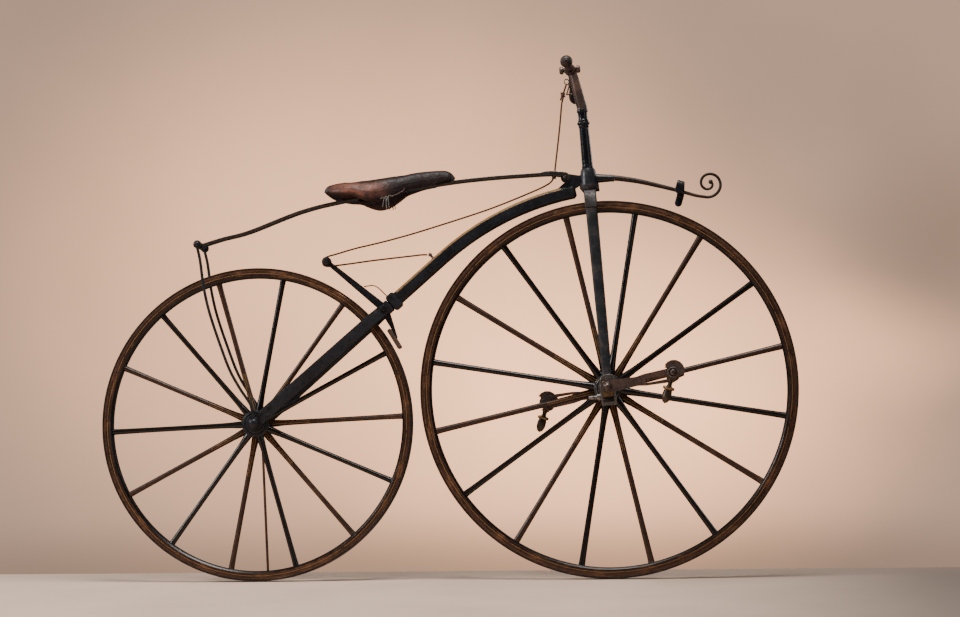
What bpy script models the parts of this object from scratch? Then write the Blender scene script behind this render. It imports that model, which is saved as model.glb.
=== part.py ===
"""Velocipede with two spoked wooden wheels, a forged backbone and a leaf spring saddle.

The machine is drawn upright, in metres: +X forward, +Y to its left and +Z up, with zero
where the front tyre meets the floor. One empty then leans it onto its prop rod and puts
the middle of its footprint at the world's zero. Steering pieces are drawn along the
steering axis, with zero at the front axle.
"""

import math

import bmesh
import bpy
from mathutils import Matrix, Vector

# Main sizes
FRONT_WHEEL_RADIUS = 0.470
REAR_WHEEL_RADIUS = 0.393
WHEELBASE = 0.8835
STEERING_RAKE = math.radians(4.6)
LEAN = math.radians(3.0)

# Clearances
SEAT_GAP = 0.0003
RUNNING_GAP = 0.0004
CUT_OVERRUN = 0.004
JOIN_OVERLAP = 0.002

# Smoothness
WHEEL_STEPS = 56
BARREL_STEPS = 20
SMALL_STEPS = 12
SPOKE_STEPS = 6
ROD_SIDES = 6
BAR_SIDES = 8
NECK_SIDES = 12
SHARP_ANGLE = math.radians(35.0)
FLAT_ANGLE = math.radians(0.05)
MERGE_LENGTH = 0.00001
QUARTER_TURN = math.radians(90.0)
HALF_TURN = math.radians(180.0)
FULL_TURN = math.radians(360.0)

# Tyres and felloes
TYRE_WIDTH = 0.030
TYRE_THICKNESS = 0.005
FRONT_FELLOE_DEPTH = 0.0225
REAR_FELLOE_DEPTH = 0.0200
FELLOE_CHAMFER = 0.005

# Spokes
FRONT_SPOKES = 16
REAR_SPOKES = 14
FRONT_SPOKE_PHASE = math.radians(80.6)
REAR_SPOKE_PHASE = math.radians(79.6)
FRONT_SPOKE_WIDTH = 0.0160
REAR_SPOKE_WIDTH = 0.0145
SPOKE_DEPTH = 0.0180
SPOKE_STAGGER = 0.010
SPOKE_FLARE_SHARES = ((0.0, 1.75), (0.10, 1.55), (0.24, 1.02), (0.60, 0.92), (1.0, 1.08))

# Hubs
FRONT_HUB_RADIUS = 0.028
FRONT_HUB_HALF = 0.034
FRONT_FLANGE_RADIUS = 0.035
REAR_HUB_RADIUS = 0.026
REAR_HUB_HALF = 0.026
REAR_FLANGE_RADIUS = 0.034
FLANGE_THICKNESS = 0.006
FLANGE_STEP_SHARES = ((0.0, 1.0), (0.45, 1.0), (0.55, 0.88), (0.85, 0.84), (1.0, 0.62))
SPOKE_FOOT_RADIUS = 0.016

# Front axle, cranks and pedals
FRONT_AXLE_RADIUS = 0.010
CRANK_LENGTH = 0.163
CRANK_RISE = math.radians(9.8)
CRANK_THICKNESS = 0.012
CRANK_WIDTH = 0.022
CRANK_END_WIDTH = 0.029
CRANK_SLOT_WIDTH = 0.0095
CRANK_SLOT_LENGTH = 0.069
CRANK_SLOT_DROP = 0.0035
CRANK_EYE_RADIUS = 0.0175
CRANK_BOSS_RADIUS = 0.0145
CRANK_HEAD_RADIUS = 0.0155
CRANK_BOSS_INNER = 0.0765
CRANK_INNER = 0.090
CRANK_CAP_RADIUS = 0.0115
CRANK_CAP_HEIGHT = 0.013
PIN_RADIUS = 0.0045
PIN_NUT_RADIUS = 0.0125
PIN_NUT_THICKNESS = 0.006
PEDAL_LENGTH = 0.088
PEDAL_BARREL_RADIUS = 0.0100
PEDAL_END_RADIUS = 0.0180
PEDAL_END_THICKNESS = 0.005
PEDAL_PIN_CLEAR = 0.0025
CAP_RADIUS = 0.0262
CAP_FORWARD = 0.0020
CAP_RISE = 0.0040
CAP_START = math.radians(150.0)
CAP_END = math.radians(-18.0)
CAP_TRIM = math.radians(10.0)
CHEEK_START = math.radians(-28.0)
CHEEK_END = math.radians(-228.0)
CAP_PIECES = 7
CHEEK_PIECES = 8
TREAD_THICKNESS = 0.0035
WEIGHT_DROP = 0.0760
WEIGHT_TILT = math.radians(17.0)
WEIGHT_RADIUS = 0.0145
WEIGHT_SHARES = (
    (0.09, 0.55), (0.22, 0.50), (0.25, 0.80), (0.29, 0.42), (0.38, 0.36), (0.44, 0.48), (0.46, 0.98),
    (0.50, 1.00), (0.54, 0.92), (0.56, 0.66), (0.66, 0.78), (0.80, 0.76), (0.90, 0.60),
    (0.96, 0.40), (1.0, 0.0),
)

# Front fork
AXLE_CAP_STANDOFF = 0.0006
FORK_BEARING_INNER = 0.046
FORK_BEARING_THICKNESS = 0.024
FORK_BEARING_HALF_WIDTH = 0.0185
FORK_BEARING_TOP = 0.033
FORK_BEARING_BOTTOM = -0.044
FORK_WINDOW_HALF_WIDTH = 0.0130
FORK_WINDOW_TOP = 0.0165
FORK_WINDOW_BOTTOM = -0.0345
BRASS_BOTTOM = -0.0215
BRASS_STEP = 0.0025
CLAMP_BOLT_RADIUS = 0.0050
CLAMP_BOLT_LENGTH = 0.031
CLAMP_BOLT_HEIGHT = -0.0215
CLAMP_NUT_RADIUS = 0.0085
CLAMP_NUT_LENGTH = 0.010
BLADE_TOP = 0.452
BLADE_TOP_SPREAD = 0.0305
BLADE_TOP_WIDTH = 0.0285
BLADE_BOTTOM_WIDTH = 0.0220
BLADE_FLATNESS_SHARE = 0.52
CROWN_TOP = 0.5127
CROWN_ARCH_CLEAR = 0.0065
CROWN_LEG_INNER = 0.0220
CROWN_LEG_OUTER = 0.0390
CROWN_SHOULDER = 0.4930
CROWN_LEG_BOTTOM = 0.4523
CROWN_THICKNESS = 0.030
CROWN_DISC_RADIUS = 0.0245
CROWN_DISC_BOTTOM = 0.490
CROWN_EDGE = 0.006
CROWN_BOLT_RADIUS = 0.0045
CROWN_BOLT_REACH = 0.0245
CROWN_BOLT_HEIGHT = 0.500

# Steering head and column
HEAD_BOTTOM = 0.5130
HEAD_TOP = 0.5550
HEAD_FOOT_RADIUS = 0.0245
HEAD_TOP_RADIUS = 0.0150
HEAD_SHARES = ((1.0, 0.0), (0.86, 0.12), (0.66, 0.52), (0.40, 0.86), (0.12, 1.0), (0.0, 1.0))
STEM_RADIUS = 0.0100
COLUMN_FOOT_RADIUS = 0.0142
COLUMN_TOP_RADIUS = 0.0118
COLUMN_TOP = 0.7060
COLLAR_HEIGHT = 0.6700
COLLAR_RADIUS = 0.0158
COLLAR_WIDTH = 0.0080
BAND_RADIUS = 0.0138
BAND_WIDTH = 0.0070

# Neck, handlebar and grips
CLAMP_HEIGHT = 0.8100
CLAMP_SETBACK = 0.0215
CLAMP_RADIUS = 0.0135
CLAMP_HALF = 0.0160
NECK_SHARES = ((0.0, 0.0), (0.0, 0.06), (0.16, 0.22), (0.36, 0.48), (0.55, 0.76), (0.75, 0.97), (1.0, 1.0))
NECK_FOOT_RADIUS = 0.0128
NECK_TAPER_SHARES = (1.0, 1.0, 1.0, 0.97, 0.86, 0.70, 0.66)
HANDLEBAR_RADIUS = 0.0075
HANDLEBAR_HALF = 0.2800
HANDLEBAR_DROOP = 0.0310
HANDLEBAR_SHARES = (
    (0.0, 0.0), (0.10, 0.0), (0.28, 0.04), (0.45, 0.14), (0.60, 0.32), (0.80, 0.62), (1.0, 1.0),
)
GRIP_LENGTH = 0.125
GRIP_RADIUS = 0.0150
GRIP_SHARES = (
    (0.0, 0.0), (0.0, 0.30), (0.012, 0.55), (0.05, 0.80), (0.13, 0.96), (0.24, 1.0), (0.42, 0.92),
    (0.62, 0.74), (0.80, 0.60), (0.88, 0.56), (0.90, 0.74), (0.95, 0.80), (0.98, 0.72),
    (1.0, 0.62), (1.0, 0.0),
)
KNOB_RADIUS = 0.0085
KNOB_REACH = 0.0250
KNOB_NECK_RADIUS = 0.0042
EYE_HEIGHT = 0.7600
EYE_REACH = 0.0360
EYE_HALF_HEIGHT = 0.0125
EYE_THICKNESS = 0.004
EYE_HOLE_RADIUS = 0.0045

# Backbone
BACKBONE_ANGLE = math.radians(41.1)
BACKBONE_STRAIGHT = 0.6273
BACKBONE_BEND_RADIUS = 0.700
BACKBONE_HEAD_ANGLE = math.radians(10.2)
BACKBONE_END = 0.4500
BACKBONE_DEPTH = 0.0330
BACKBONE_WIDTH = 0.0260
BACKBONE_CHAMFER = 0.0065
BACKBONE_SADDLE_RISE = 0.0132
BEND_PIECES = 10
WEB_THICKNESS = 0.0140
LUG_BACK = 0.0587
LUG_HEIGHT = 0.5374
LUG_RADIUS = 0.0110
BRACKET_LENGTH = 0.0640
BRACKET_HEIGHT = 0.5300
BRACKET_ROOT_RADIUS = 0.0115
BRACKET_TIP_RADIUS = 0.0088

# Rear fork
COLLAR_LENGTH = 0.0260
COLLAR_WALL = 0.0050
WIRE_FOOT_ALONG = 0.0075
ARM_WIDTH = 0.0300
ARM_THICKNESS = 0.0100
ARM_EDGE = 0.0025
ARM_BOLT_STANDOFF = 0.00175
ARM_SHOULDER_SHARES = (
    (1.0, 0.30), (0.955, 0.30), (0.915, 0.42), (0.875, 0.58), (0.83, 0.66), (0.75, 0.70),
    (0.50, 0.80), (0.22, 0.93), (0.10, 1.0), (0.0, 1.0),
)
ARM_SPREAD = 0.0450
ARM_EYE_RADIUS = 0.0200
REAR_AXLE_RADIUS = 0.0090
REAR_NUT_RADIUS = 0.0125
REAR_NUT_LENGTH = 0.0165

# Seat spring and struts
SPRING_REAR = (-1.0270, 0.8450)
SPRING_FRONT_RISE_SHARES = (
    (0.0, 0.0), (0.061, 0.100), (0.137, 0.205), (0.275, 0.490), (0.389, 0.640), (0.555, 0.790),
    (0.689, 0.900), (0.794, 0.955), (0.890, 0.985), (0.958, 1.0), (0.985, 0.985),
)
SPRING_LENGTH = 0.9250
SPRING_RISE = 0.1660
SPRING_THICKNESS = 0.0065
SPRING_WIDTH = 0.0340
SPRING_EYE_RADIUS = 0.0085
SPRING_FORK_WIDTH = 0.0155
SPRING_FORK_LENGTH = 0.0340
SPRING_PIN_RADIUS = 0.0045
SPRING_PIN_HALF = 0.0580
SPRING_BALL_RADIUS = 0.0068
CORD_HOLE_FORWARD = -0.1272
STRUT_RADIUS = 0.0037
STRUT_TOP_SPREAD = 0.0500
STRUT_FOOT_THICKNESS = 0.0050
STRUT_EYE_RADIUS = 0.0130
STRUT_SPREAD_SHARE = 1.3
STRUT_SHARES = (
    (0.0, 0.0), (0.05, 0.090), (0.105, 0.220), (0.175, 0.330), (0.265, 0.430), (0.42, 0.573),
    (0.58, 0.705), (0.76, 0.808), (0.95, 0.900),
)

# Saddle
SADDLE_REAR = -0.7090
SADDLE_LENGTH = 0.3300
SADDLE_LOW = 0.9400
SADDLE_RISE = 0.0860
SADDLE_HALF_WIDTH = 0.1000
SADDLE_SHARES = (
    (0.0, 0.42, 0.44, 0.34), (0.035, 0.64, 0.565, 0.24), (0.09, 0.84, 0.61, 0.12), (0.18, 0.98, 0.65, 0.03),
    (0.28, 1.0, 0.675, 0.0), (0.38, 0.93, 0.725, 0.02), (0.48, 0.78, 0.79, 0.08), (0.57, 0.60, 0.85, 0.22),
    (0.66, 0.44, 0.91, 0.38), (0.76, 0.33, 0.965, 0.48), (0.86, 0.28, 0.99, 0.56), (0.93, 0.265, 0.985, 0.62),
    (0.975, 0.22, 0.93, 0.67), (1.0, 0.12, 0.82, 0.72),
)
SADDLE_SECTION_SHARES = (
    (0.0, 1.0), (0.34, 0.985), (0.62, 0.91), (0.84, 0.74), (0.97, 0.45), (1.0, 0.16), (0.96, 0.0),
)
SADDLE_SKIRT_SHARE = 0.82
SADDLE_NOSE_SHARE = 0.90
SADDLE_SEAT_GAP = 0.0006
SADDLE_SEAT_MARGIN = 0.0010
FLAP_REAR = -0.6280
FLAP_LENGTH = 0.1180
FLAP_DEPTH = 0.0200
FLAP_ROUNDING = 0.0070

# Brake
LEVER_KNOB = (-0.7060, 0.8010)
LEVER_PIVOT_ALONG = 0.4320
LEVER_PIVOT_RISE = 0.0030
LEVER_THICKNESS = 0.0100
LEVER_FOOT_THICKNESS = 0.0090
LEVER_BOSS_HALF = 0.0055
LEVER_DISC_RADIUS = 0.0115
LEVER_DISC_REACH = 0.0090
LEVER_DISC_TIP_RADIUS = 0.0080
LEVER_DISC_TIP_REACH = 0.0105
LEVER_TIP_WIDTH = 0.0110
LEVER_ROOT_WIDTH = 0.0210
LEVER_FOOT_WIDTH = 0.0160
LEVER_BOLT_RADIUS = 0.0045
LEVER_BOLT_HEAD_RADIUS = 0.0080
LEVER_BOLT_HEAD_THICKNESS = 0.0045
SHOE_LENGTH = 0.0560
SHOE_THICKNESS = 0.0110
SHOE_WIDTH = 0.0280
SHOE_CLEAR = 0.0085
SHOE_ANGLE = math.radians(31.0)
SHEAVE_RADIUS = 0.0097
SHEAVE_FLANGE_RADIUS = 0.0112
SHEAVE_WIDTH = 0.0055
SHEAVE_FLANGE_WIDTH = 0.0020
RETURN_WIRE_RADIUS = 0.0015
RETURN_WIRE_START_SHARE = 0.60
RETURN_WIRE_HEIGHT = 0.0130
CORD_RADIUS = 0.0023
CORD_SPLIT_BACK = 0.0445
CORD_SPLIT_HEIGHT = 0.7420
GUIDE_RADIUS = 0.0060
GUIDE_BORE_RADIUS = 0.0039
GUIDE_HEIGHT = 0.0065
STUD_RADIUS = 0.0030
STUD_HEIGHT = 0.0110
STUD_EYE_RADIUS = 0.0050
STUD_ALONG = 0.6080
WRAP_START = math.radians(104.0)
WRAP_END = math.radians(276.0)
UPPER_CORD_ROUTE = (
    (-0.1077, 1.1900), (-0.1130, 1.1360), (-0.1205, 1.0727), (-0.1262, 1.0270), (-0.1280, 1.0120),
    (-0.1300, 1.0030),
)
LOWER_CORD_ROUTE = (
    (-0.1325, 0.9960, 0.0), (-0.1425, 0.9880, 0.0), (-0.1614, 0.9774, 0.0), (-0.2148, 0.9554, 0.0),
    (-0.2859, 0.9285, 0.0), (-0.3567, 0.9060, 0.1), (-0.4282, 0.8848, 0.3), (-0.4992, 0.8646, 0.5),
    (-0.5703, 0.8471, 0.7), (-0.6321, 0.8340, 0.9), (-0.6774, 0.8215, 1.0), (-0.6960, 0.8166, 1.0),
)
RETURN_CORD_ROUTE = (
    (-0.6960, 0.7896, 1.0), (-0.6780, 0.7916, 1.0), (-0.6400, 0.7958, 0.9), (-0.5868, 0.8022, 0.7),
    (-0.4849, 0.8118, 0.2), (-0.4600, 0.8140, 0.0),
)

# Leg rest
SPIRAL_CENTRE = (0.2572, 0.9800)
SPIRAL_OUTER = 0.0350
SPIRAL_PIECES = 26
SPIRAL_INNER = 0.0065
SPIRAL_START = math.radians(-106.0)
SPIRAL_END = math.radians(400.0)
ROD_ROOT_RADIUS = 0.0072
ROD_TIP_RADIUS = 0.0026
ROD_DROP_SHARES = ((0.0, 0.0), (0.09, 0.04), (0.285, 0.19), (0.506, 0.43), (0.725, 0.69), (0.889, 0.91))
CROSSPIECE_HALF = 0.1290
CROSSPIECE_WIDTH = 0.0150
CROSSPIECE_THICKNESS = 0.0050
CROSSPIECE_DROP = 0.0330
CROSSPIECE_CORNER = 0.0090
CROSSPIECE_PLACE_SHARE = 0.755

# Prop rod
PROP_RADIUS = 0.0033
PROP_SPLAY = math.radians(14.0)
PROP_MIDDLE = 0.0640

COLOURS = {
    "tyre_iron": ((0.050, 0.040, 0.038, 1.0), 0.55, 0.8),
    "felloe_wood": ((0.120, 0.062, 0.035, 1.0), 0.50, 0.0),
    "spoke_wood": ((0.045, 0.030, 0.024, 1.0), 0.45, 0.0),
    "black_iron": ((0.018, 0.021, 0.026, 1.0), 0.38, 0.6),
    "bare_iron": ((0.150, 0.125, 0.115, 1.0), 0.42, 0.9),
    "rusty_iron": ((0.090, 0.055, 0.045, 1.0), 0.55, 0.7),
    "brass": ((0.420, 0.270, 0.110, 1.0), 0.35, 1.0),
    "leather": ((0.070, 0.035, 0.025, 1.0), 0.50, 0.0),
    "grip_wood": ((0.110, 0.070, 0.045, 1.0), 0.40, 0.0),
    "cord": ((0.110, 0.050, 0.030, 1.0), 0.85, 0.0),
    "spring_steel": ((0.060, 0.055, 0.050, 1.0), 0.40, 0.8),
}


# Scene, materials and placing


def clear_scene():
    """Remove whatever the file holds."""
    for item in list(bpy.data.objects):
        bpy.data.objects.remove(item, do_unlink=True)


def new_collection(name):
    """A collection in the scene."""
    group = bpy.data.collections.new(name)
    bpy.context.scene.collection.children.link(group)
    return group


clear_scene()
PARTS = new_collection("velocipede")
CUTTERS = new_collection("cutters")


def paint(name):
    """The named material, made once."""
    if name in bpy.data.materials:
        return bpy.data.materials[name]
    colour, roughness, metallic = COLOURS[name]
    made = bpy.data.materials.new(name)
    made.use_nodes = True
    shader = made.node_tree.nodes["Principled BSDF"]
    shader.inputs["Base Color"].default_value = colour
    shader.inputs["Roughness"].default_value = roughness
    shader.inputs["Metallic"].default_value = metallic
    made.diffuse_color = colour
    return made


def empty(name, parent, place=(0.0, 0.0, 0.0), turn=(0.0, 0.0, 0.0)):
    """An axis or a placing frame that pieces hang from."""
    frame = bpy.data.objects.new(name, None)
    PARTS.objects.link(frame)
    frame.parent = parent
    frame.location = place
    frame.rotation_euler = turn
    return frame


def put(name, mesh, colour, parent, place=(0.0, 0.0, 0.0), turn=(0.0, 0.0, 0.0)):
    """A named piece with its own material, placed on its parent."""
    piece = bpy.data.objects.new(name, mesh)
    PARTS.objects.link(piece)
    piece.data.materials.clear()
    piece.data.materials.append(paint(colour))
    piece.parent = parent
    piece.location = place
    piece.rotation_euler = turn
    return piece


def tool(mesh, parent, place=(0.0, 0.0, 0.0), turn=(0.0, 0.0, 0.0)):
    """A shape that only cuts or joins another."""
    piece = bpy.data.objects.new("shape", mesh)
    CUTTERS.objects.link(piece)
    piece.parent = parent
    piece.location = place
    piece.rotation_euler = turn
    piece.hide_render = True
    piece.display_type = "WIRE"
    return piece


def combine(piece, other, operation):
    """One live Boolean between a piece and a helper shape."""
    step = piece.modifiers.new(operation.title(), "BOOLEAN")
    step.operation = operation
    step.solver = "EXACT"
    step.object = other
    return step


def join(piece, mesh, place=(0.0, 0.0, 0.0), turn=(0.0, 0.0, 0.0)):
    """Fuse a shape, given in the parent's frame, to the piece."""
    combine(piece, tool(mesh, piece.parent, place, turn), "UNION")


def cut(piece, mesh, place=(0.0, 0.0, 0.0), turn=(0.0, 0.0, 0.0)):
    """Cut a shape, given in the parent's frame, out of the piece."""
    combine(piece, tool(mesh, piece.parent, place, turn), "DIFFERENCE")


def chamfer(piece, width, segments=1):
    """Bevel the sharp edges of a piece."""
    step = piece.modifiers.new("Edges", "BEVEL")
    step.width = width
    step.segments = segments
    step.limit_method = "ANGLE"
    step.angle_limit = SHARP_ANGLE
    return step


# Shapes


def smooth(mesh):
    """Smooth shading with the edges kept."""
    mesh.shade_smooth()
    mesh.set_sharp_from_angle(angle=SHARP_ANGLE)
    return mesh


def read_mesh(source):
    """The evaluated mesh of a helper object, welded, with the helper removed."""
    bpy.context.view_layer.update()
    graph = bpy.context.evaluated_depsgraph_get()
    mesh = bpy.data.meshes.new_from_object(source.evaluated_get(graph))
    bpy.data.objects.remove(source, do_unlink=True)
    work = bmesh.new()
    work.from_mesh(mesh)
    bmesh.ops.remove_doubles(work, verts=work.verts, dist=MERGE_LENGTH)
    bmesh.ops.dissolve_limit(work, angle_limit=FLAT_ANGLE, verts=work.verts, edges=work.edges)
    bmesh.ops.recalc_face_normals(work, faces=work.faces)
    work.to_mesh(mesh)
    work.free()
    return smooth(mesh)


def turned(profile, steps=BARREL_STEPS):
    """A solid of revolution about local Z from (radius, height) pairs, top to bottom."""
    mesh = bpy.data.meshes.new("turned")
    points = [(radius, 0.0, height) for radius, height in profile]
    links = [(index, index + 1) for index in range(len(points) - 1)]
    mesh.from_pydata(points, links, [])
    source = bpy.data.objects.new("turned", mesh)
    CUTTERS.objects.link(source)
    add_screw(source, steps)
    return read_mesh(source)


def ring(profile, steps):
    """A ring of revolution about local Z from a closed (radius, height) section.

    The flats of the facets, not their corners, lie on the given radii, and one flat
    faces each quarter.
    """
    mesh = bpy.data.meshes.new("ring")
    corner = 1 / math.cos(HALF_TURN / steps)
    points = [(radius * corner, 0.0, height) for radius, height in profile]
    links = [(index, (index + 1) % len(points)) for index in range(len(points))]
    mesh.from_pydata(points, links, [])
    mesh.transform(Matrix.Rotation(HALF_TURN / steps, 4, "Z"))
    source = bpy.data.objects.new("ring", mesh)
    CUTTERS.objects.link(source)
    add_screw(source, steps)
    return read_mesh(source)


def add_screw(source, steps):
    """A full turn about local Z."""
    screw = source.modifiers.new("Turn", "SCREW")
    screw.axis = "Z"
    screw.angle = FULL_TURN
    screw.steps = steps
    screw.render_steps = steps
    screw.use_merge_vertices = True
    screw.merge_threshold = MERGE_LENGTH
    screw.use_smooth_shade = True


def cylinder(radius, low, high, steps=BARREL_STEPS):
    """A plain cylinder along local Z."""
    return turned([(0.0, high), (radius, high), (radius, low), (0.0, low)], steps)


def box(low, high):
    """A box between two corners."""
    work = bmesh.new()
    bmesh.ops.create_cube(work, size=1.0)
    size = Vector(high) - Vector(low)
    middle = (Vector(high) + Vector(low)) / 2
    work.transform(Matrix.Translation(middle) @ Matrix.Diagonal((*size, 1.0)))
    mesh = bpy.data.meshes.new("box")
    work.to_mesh(mesh)
    work.free()
    return mesh


def plate(outline, thickness):
    """A flat outline in local XY, thickened evenly along local Z."""
    curve = bpy.data.curves.new("outline", "CURVE")
    curve.dimensions = "2D"
    curve.fill_mode = "BOTH"
    curve.extrude = thickness / 2
    spline = curve.splines.new("POLY")
    spline.points.add(len(outline) - 1)
    for point, (across, up) in zip(spline.points, outline):
        point.co = (across, up, 0.0, 1.0)
    spline.use_cyclic_u = True
    source = bpy.data.objects.new("outline", curve)
    CUTTERS.objects.link(source)
    return read_mesh(source)


def tube(points, radii, sides=ROD_SIDES):
    """A round bar through 3-D points, with a radius for each, and flat ends."""
    curve = bpy.data.curves.new("bar", "CURVE")
    curve.dimensions = "3D"
    curve.bevel_depth = radii[0]
    curve.bevel_resolution = sides // 2 - 2
    curve.use_fill_caps = True
    spline = curve.splines.new("POLY")
    spline.points.add(len(points) - 1)
    for point, place, radius in zip(spline.points, points, radii):
        point.co = (*place, 1.0)
        point.radius = radius / radii[0]
    source = bpy.data.objects.new("bar", curve)
    CUTTERS.objects.link(source)
    return read_mesh(source)


def flowing(points, pieces=4):
    """Points on a smooth curve through the given ones."""
    knots = [Vector(point) for point in points]
    first = knots[0] * 2 - knots[1]
    last = knots[-1] * 2 - knots[-2]
    ends = [first, *knots, last]
    path = []
    for index in range(1, len(ends) - 2):
        before, start, end, after = ends[index - 1 : index + 3]
        for piece in range(pieces):
            share = piece / pieces
            bend = start * 2 + (end - before) * share
            bend += (before * 2 - start * 5 + end * 4 - after) * share**2
            bend += (start * 3 - before - end * 3 + after) * share**3
            path.append(bend / 2)
    path.append(knots[-1])
    return path


def strip(path, thicknesses):
    """The closed outline of a strip along a 2-D path, with a thickness at each point."""
    upper = []
    lower = []
    for index, point in enumerate(path):
        ahead = path[min(index + 1, len(path) - 1)]
        behind = path[max(index - 1, 0)]
        along = (ahead - behind).normalized()
        side = Vector((-along.y, along.x)) * thicknesses[index] / 2
        upper.append(tuple(point + side))
        lower.append(tuple(point - side))
    return upper + lower[::-1]


def arc(centre, radius, start, end, pieces):
    """Points on an arc in a plane."""
    points = []
    for index in range(pieces + 1):
        angle = start + (end - start) * index / pieces
        points.append(Vector((centre[0] + radius * math.cos(angle), centre[1] + radius * math.sin(angle))))
    return points


# Frames: along Y for what turns on an axle, and the XZ plane for side outlines
ALONG_Y = (-QUARTER_TURN, 0.0, 0.0)
SIDE_VIEW = (QUARTER_TURN, 0.0, 0.0)
SIDES = (("right", -1), ("left", 1))

GRIP_MIDDLE_HEIGHT = (
    FRONT_WHEEL_RADIUS
    + (CLAMP_HEIGHT - HANDLEBAR_DROOP) * math.cos(STEERING_RAKE)
    - CLAMP_SETBACK * math.sin(STEERING_RAKE)
)
FOOTPRINT_MIDDLE = (FRONT_WHEEL_RADIUS - WHEELBASE - REAR_WHEEL_RADIUS) / 2
STANCE = empty(
    "stance",
    None,
    (
        -FOOTPRINT_MIDDLE,
        -GRIP_MIDDLE_HEIGHT * math.sin(LEAN),
        TYRE_WIDTH / 2 * math.sin(LEAN),
    ),
    (-LEAN, 0.0, 0.0),
)
STEERING = empty("steering_axis", STANCE, (0.0, 0.0, FRONT_WHEEL_RADIUS), (0.0, -STEERING_RAKE, 0.0))
FRONT_AXIS = empty("front_axle_axis", STEERING, turn=(0.0, STEERING_RAKE, 0.0))
REAR_AXIS = empty("rear_axle_axis", STANCE, (-WHEELBASE, 0.0, REAR_WHEEL_RADIUS))


# Wheels


def spoke_mesh(width, length):
    """One tapered spoke along local Z, flared at its foot."""
    profile = [(0.0, length)]
    for share, swell in reversed(SPOKE_FLARE_SHARES):
        profile.append((width / 2 * swell, length * share))
    profile.append((0.0, 0.0))
    mesh = turned(profile, SPOKE_STEPS)
    mesh.transform(Matrix.Diagonal((1.0, SPOKE_DEPTH / width, 1.0, 1.0)))
    return mesh


def spoke_frame(angle, side, foot_radius, tip_radius):
    """The placing of one spoke, from its foot beside the middle plane to the felloe."""
    outward = Vector((math.cos(angle), 0.0, math.sin(angle)))
    foot = outward * foot_radius + Vector((0.0, side * SPOKE_STAGGER, 0.0))
    along = (outward * tip_radius - foot).normalized()
    across = Vector((0.0, 1.0, 0.0)).cross(along).normalized()
    depth = along.cross(across)
    turn = Matrix((across, depth, along)).transposed()
    return Matrix.Translation(foot) @ turn.to_4x4()


def wheel(name, axis, radius, felloe_depth, count, phase, width, hub, axle_radius):
    """Tyre, felloe, spokes with their hub, and two hub flanges."""
    hub_radius, hub_half, flange_radius = hub
    half = TYRE_WIDTH / 2
    seat = radius - TYRE_THICKNESS
    tyre = ring([(radius, half), (radius, -half), (seat, -half), (seat, half)], WHEEL_STEPS)
    put(f"{name}_tyre", tyre, "tyre_iron", axis, turn=ALONG_Y)

    outer = seat - SEAT_GAP
    inner = outer - felloe_depth
    edge = FELLOE_CHAMFER
    section = [
        (outer, half), (outer, -half), (inner + edge, -half), (inner, edge - half),
        (inner, half - edge), (inner + edge, half),
    ]
    put(f"{name}_felloe", ring(section, WHEEL_STEPS), "felloe_wood", axis, turn=ALONG_Y)

    core = turned([(0.0, hub_half), (hub_radius, hub_half), (hub_radius, -hub_half), (0.0, -hub_half)])
    spokes = put(f"{name}_spokes", core, "spoke_wood", axis, turn=ALONG_Y)
    tip = inner - SEAT_GAP
    shape = spoke_mesh(width, tip - SPOKE_FOOT_RADIUS)
    group = bpy.data.collections.new(f"{name} spoke shapes")
    CUTTERS.children.link(group)
    for index in range(count):
        side = 1 if index % 2 else -1
        frame = spoke_frame(phase + FULL_TURN * index / count, side, SPOKE_FOOT_RADIUS, tip)
        one = tool(shape, axis)
        CUTTERS.objects.unlink(one)
        group.objects.link(one)
        one.matrix_basis = frame
    fuse = spokes.modifiers.new("Spokes", "BOOLEAN")
    fuse.operation = "UNION"
    fuse.solver = "EXACT"
    fuse.operand_type = "COLLECTION"
    fuse.collection = group
    bore = cylinder(axle_radius + RUNNING_GAP, -hub_half - CUT_OVERRUN, hub_half + CUT_OVERRUN)
    cut(spokes, bore, turn=ALONG_Y)

    for side_name, side in SIDES:
        start = hub_half + SEAT_GAP
        profile = [(axle_radius + RUNNING_GAP, start + FLANGE_THICKNESS)]
        for share, swell in reversed(FLANGE_STEP_SHARES):
            profile.append((flange_radius * swell, start + FLANGE_THICKNESS * share))
        profile.append((axle_radius + RUNNING_GAP, start))
        profile.append(profile[0])
        flange = turned(profile)
        if side < 0:
            flange.transform(Matrix.Rotation(HALF_TURN, 4, "X"))
        put(f"{name}_flange_{side_name}", flange, "black_iron", axis, turn=ALONG_Y)


wheel(
    "front", FRONT_AXIS, FRONT_WHEEL_RADIUS, FRONT_FELLOE_DEPTH, FRONT_SPOKES, FRONT_SPOKE_PHASE,
    FRONT_SPOKE_WIDTH, (FRONT_HUB_RADIUS, FRONT_HUB_HALF, FRONT_FLANGE_RADIUS), FRONT_AXLE_RADIUS,
)
wheel(
    "rear", REAR_AXIS, REAR_WHEEL_RADIUS, REAR_FELLOE_DEPTH, REAR_SPOKES, REAR_SPOKE_PHASE,
    REAR_SPOKE_WIDTH, (REAR_HUB_RADIUS, REAR_HUB_HALF, REAR_FLANGE_RADIUS), REAR_AXLE_RADIUS,
)


# Front axle, cranks and pedals

CRANK_OUTER = CRANK_INNER + CRANK_THICKNESS


def domed(radius, base, height):
    """The profile of a dome, from its top down to its base."""
    points = []
    for index in range(4):
        angle = QUARTER_TURN * index / 4
        points.append((radius * math.sin(angle), base + height * math.cos(angle)))
    points.append((radius, base))
    return points


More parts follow.
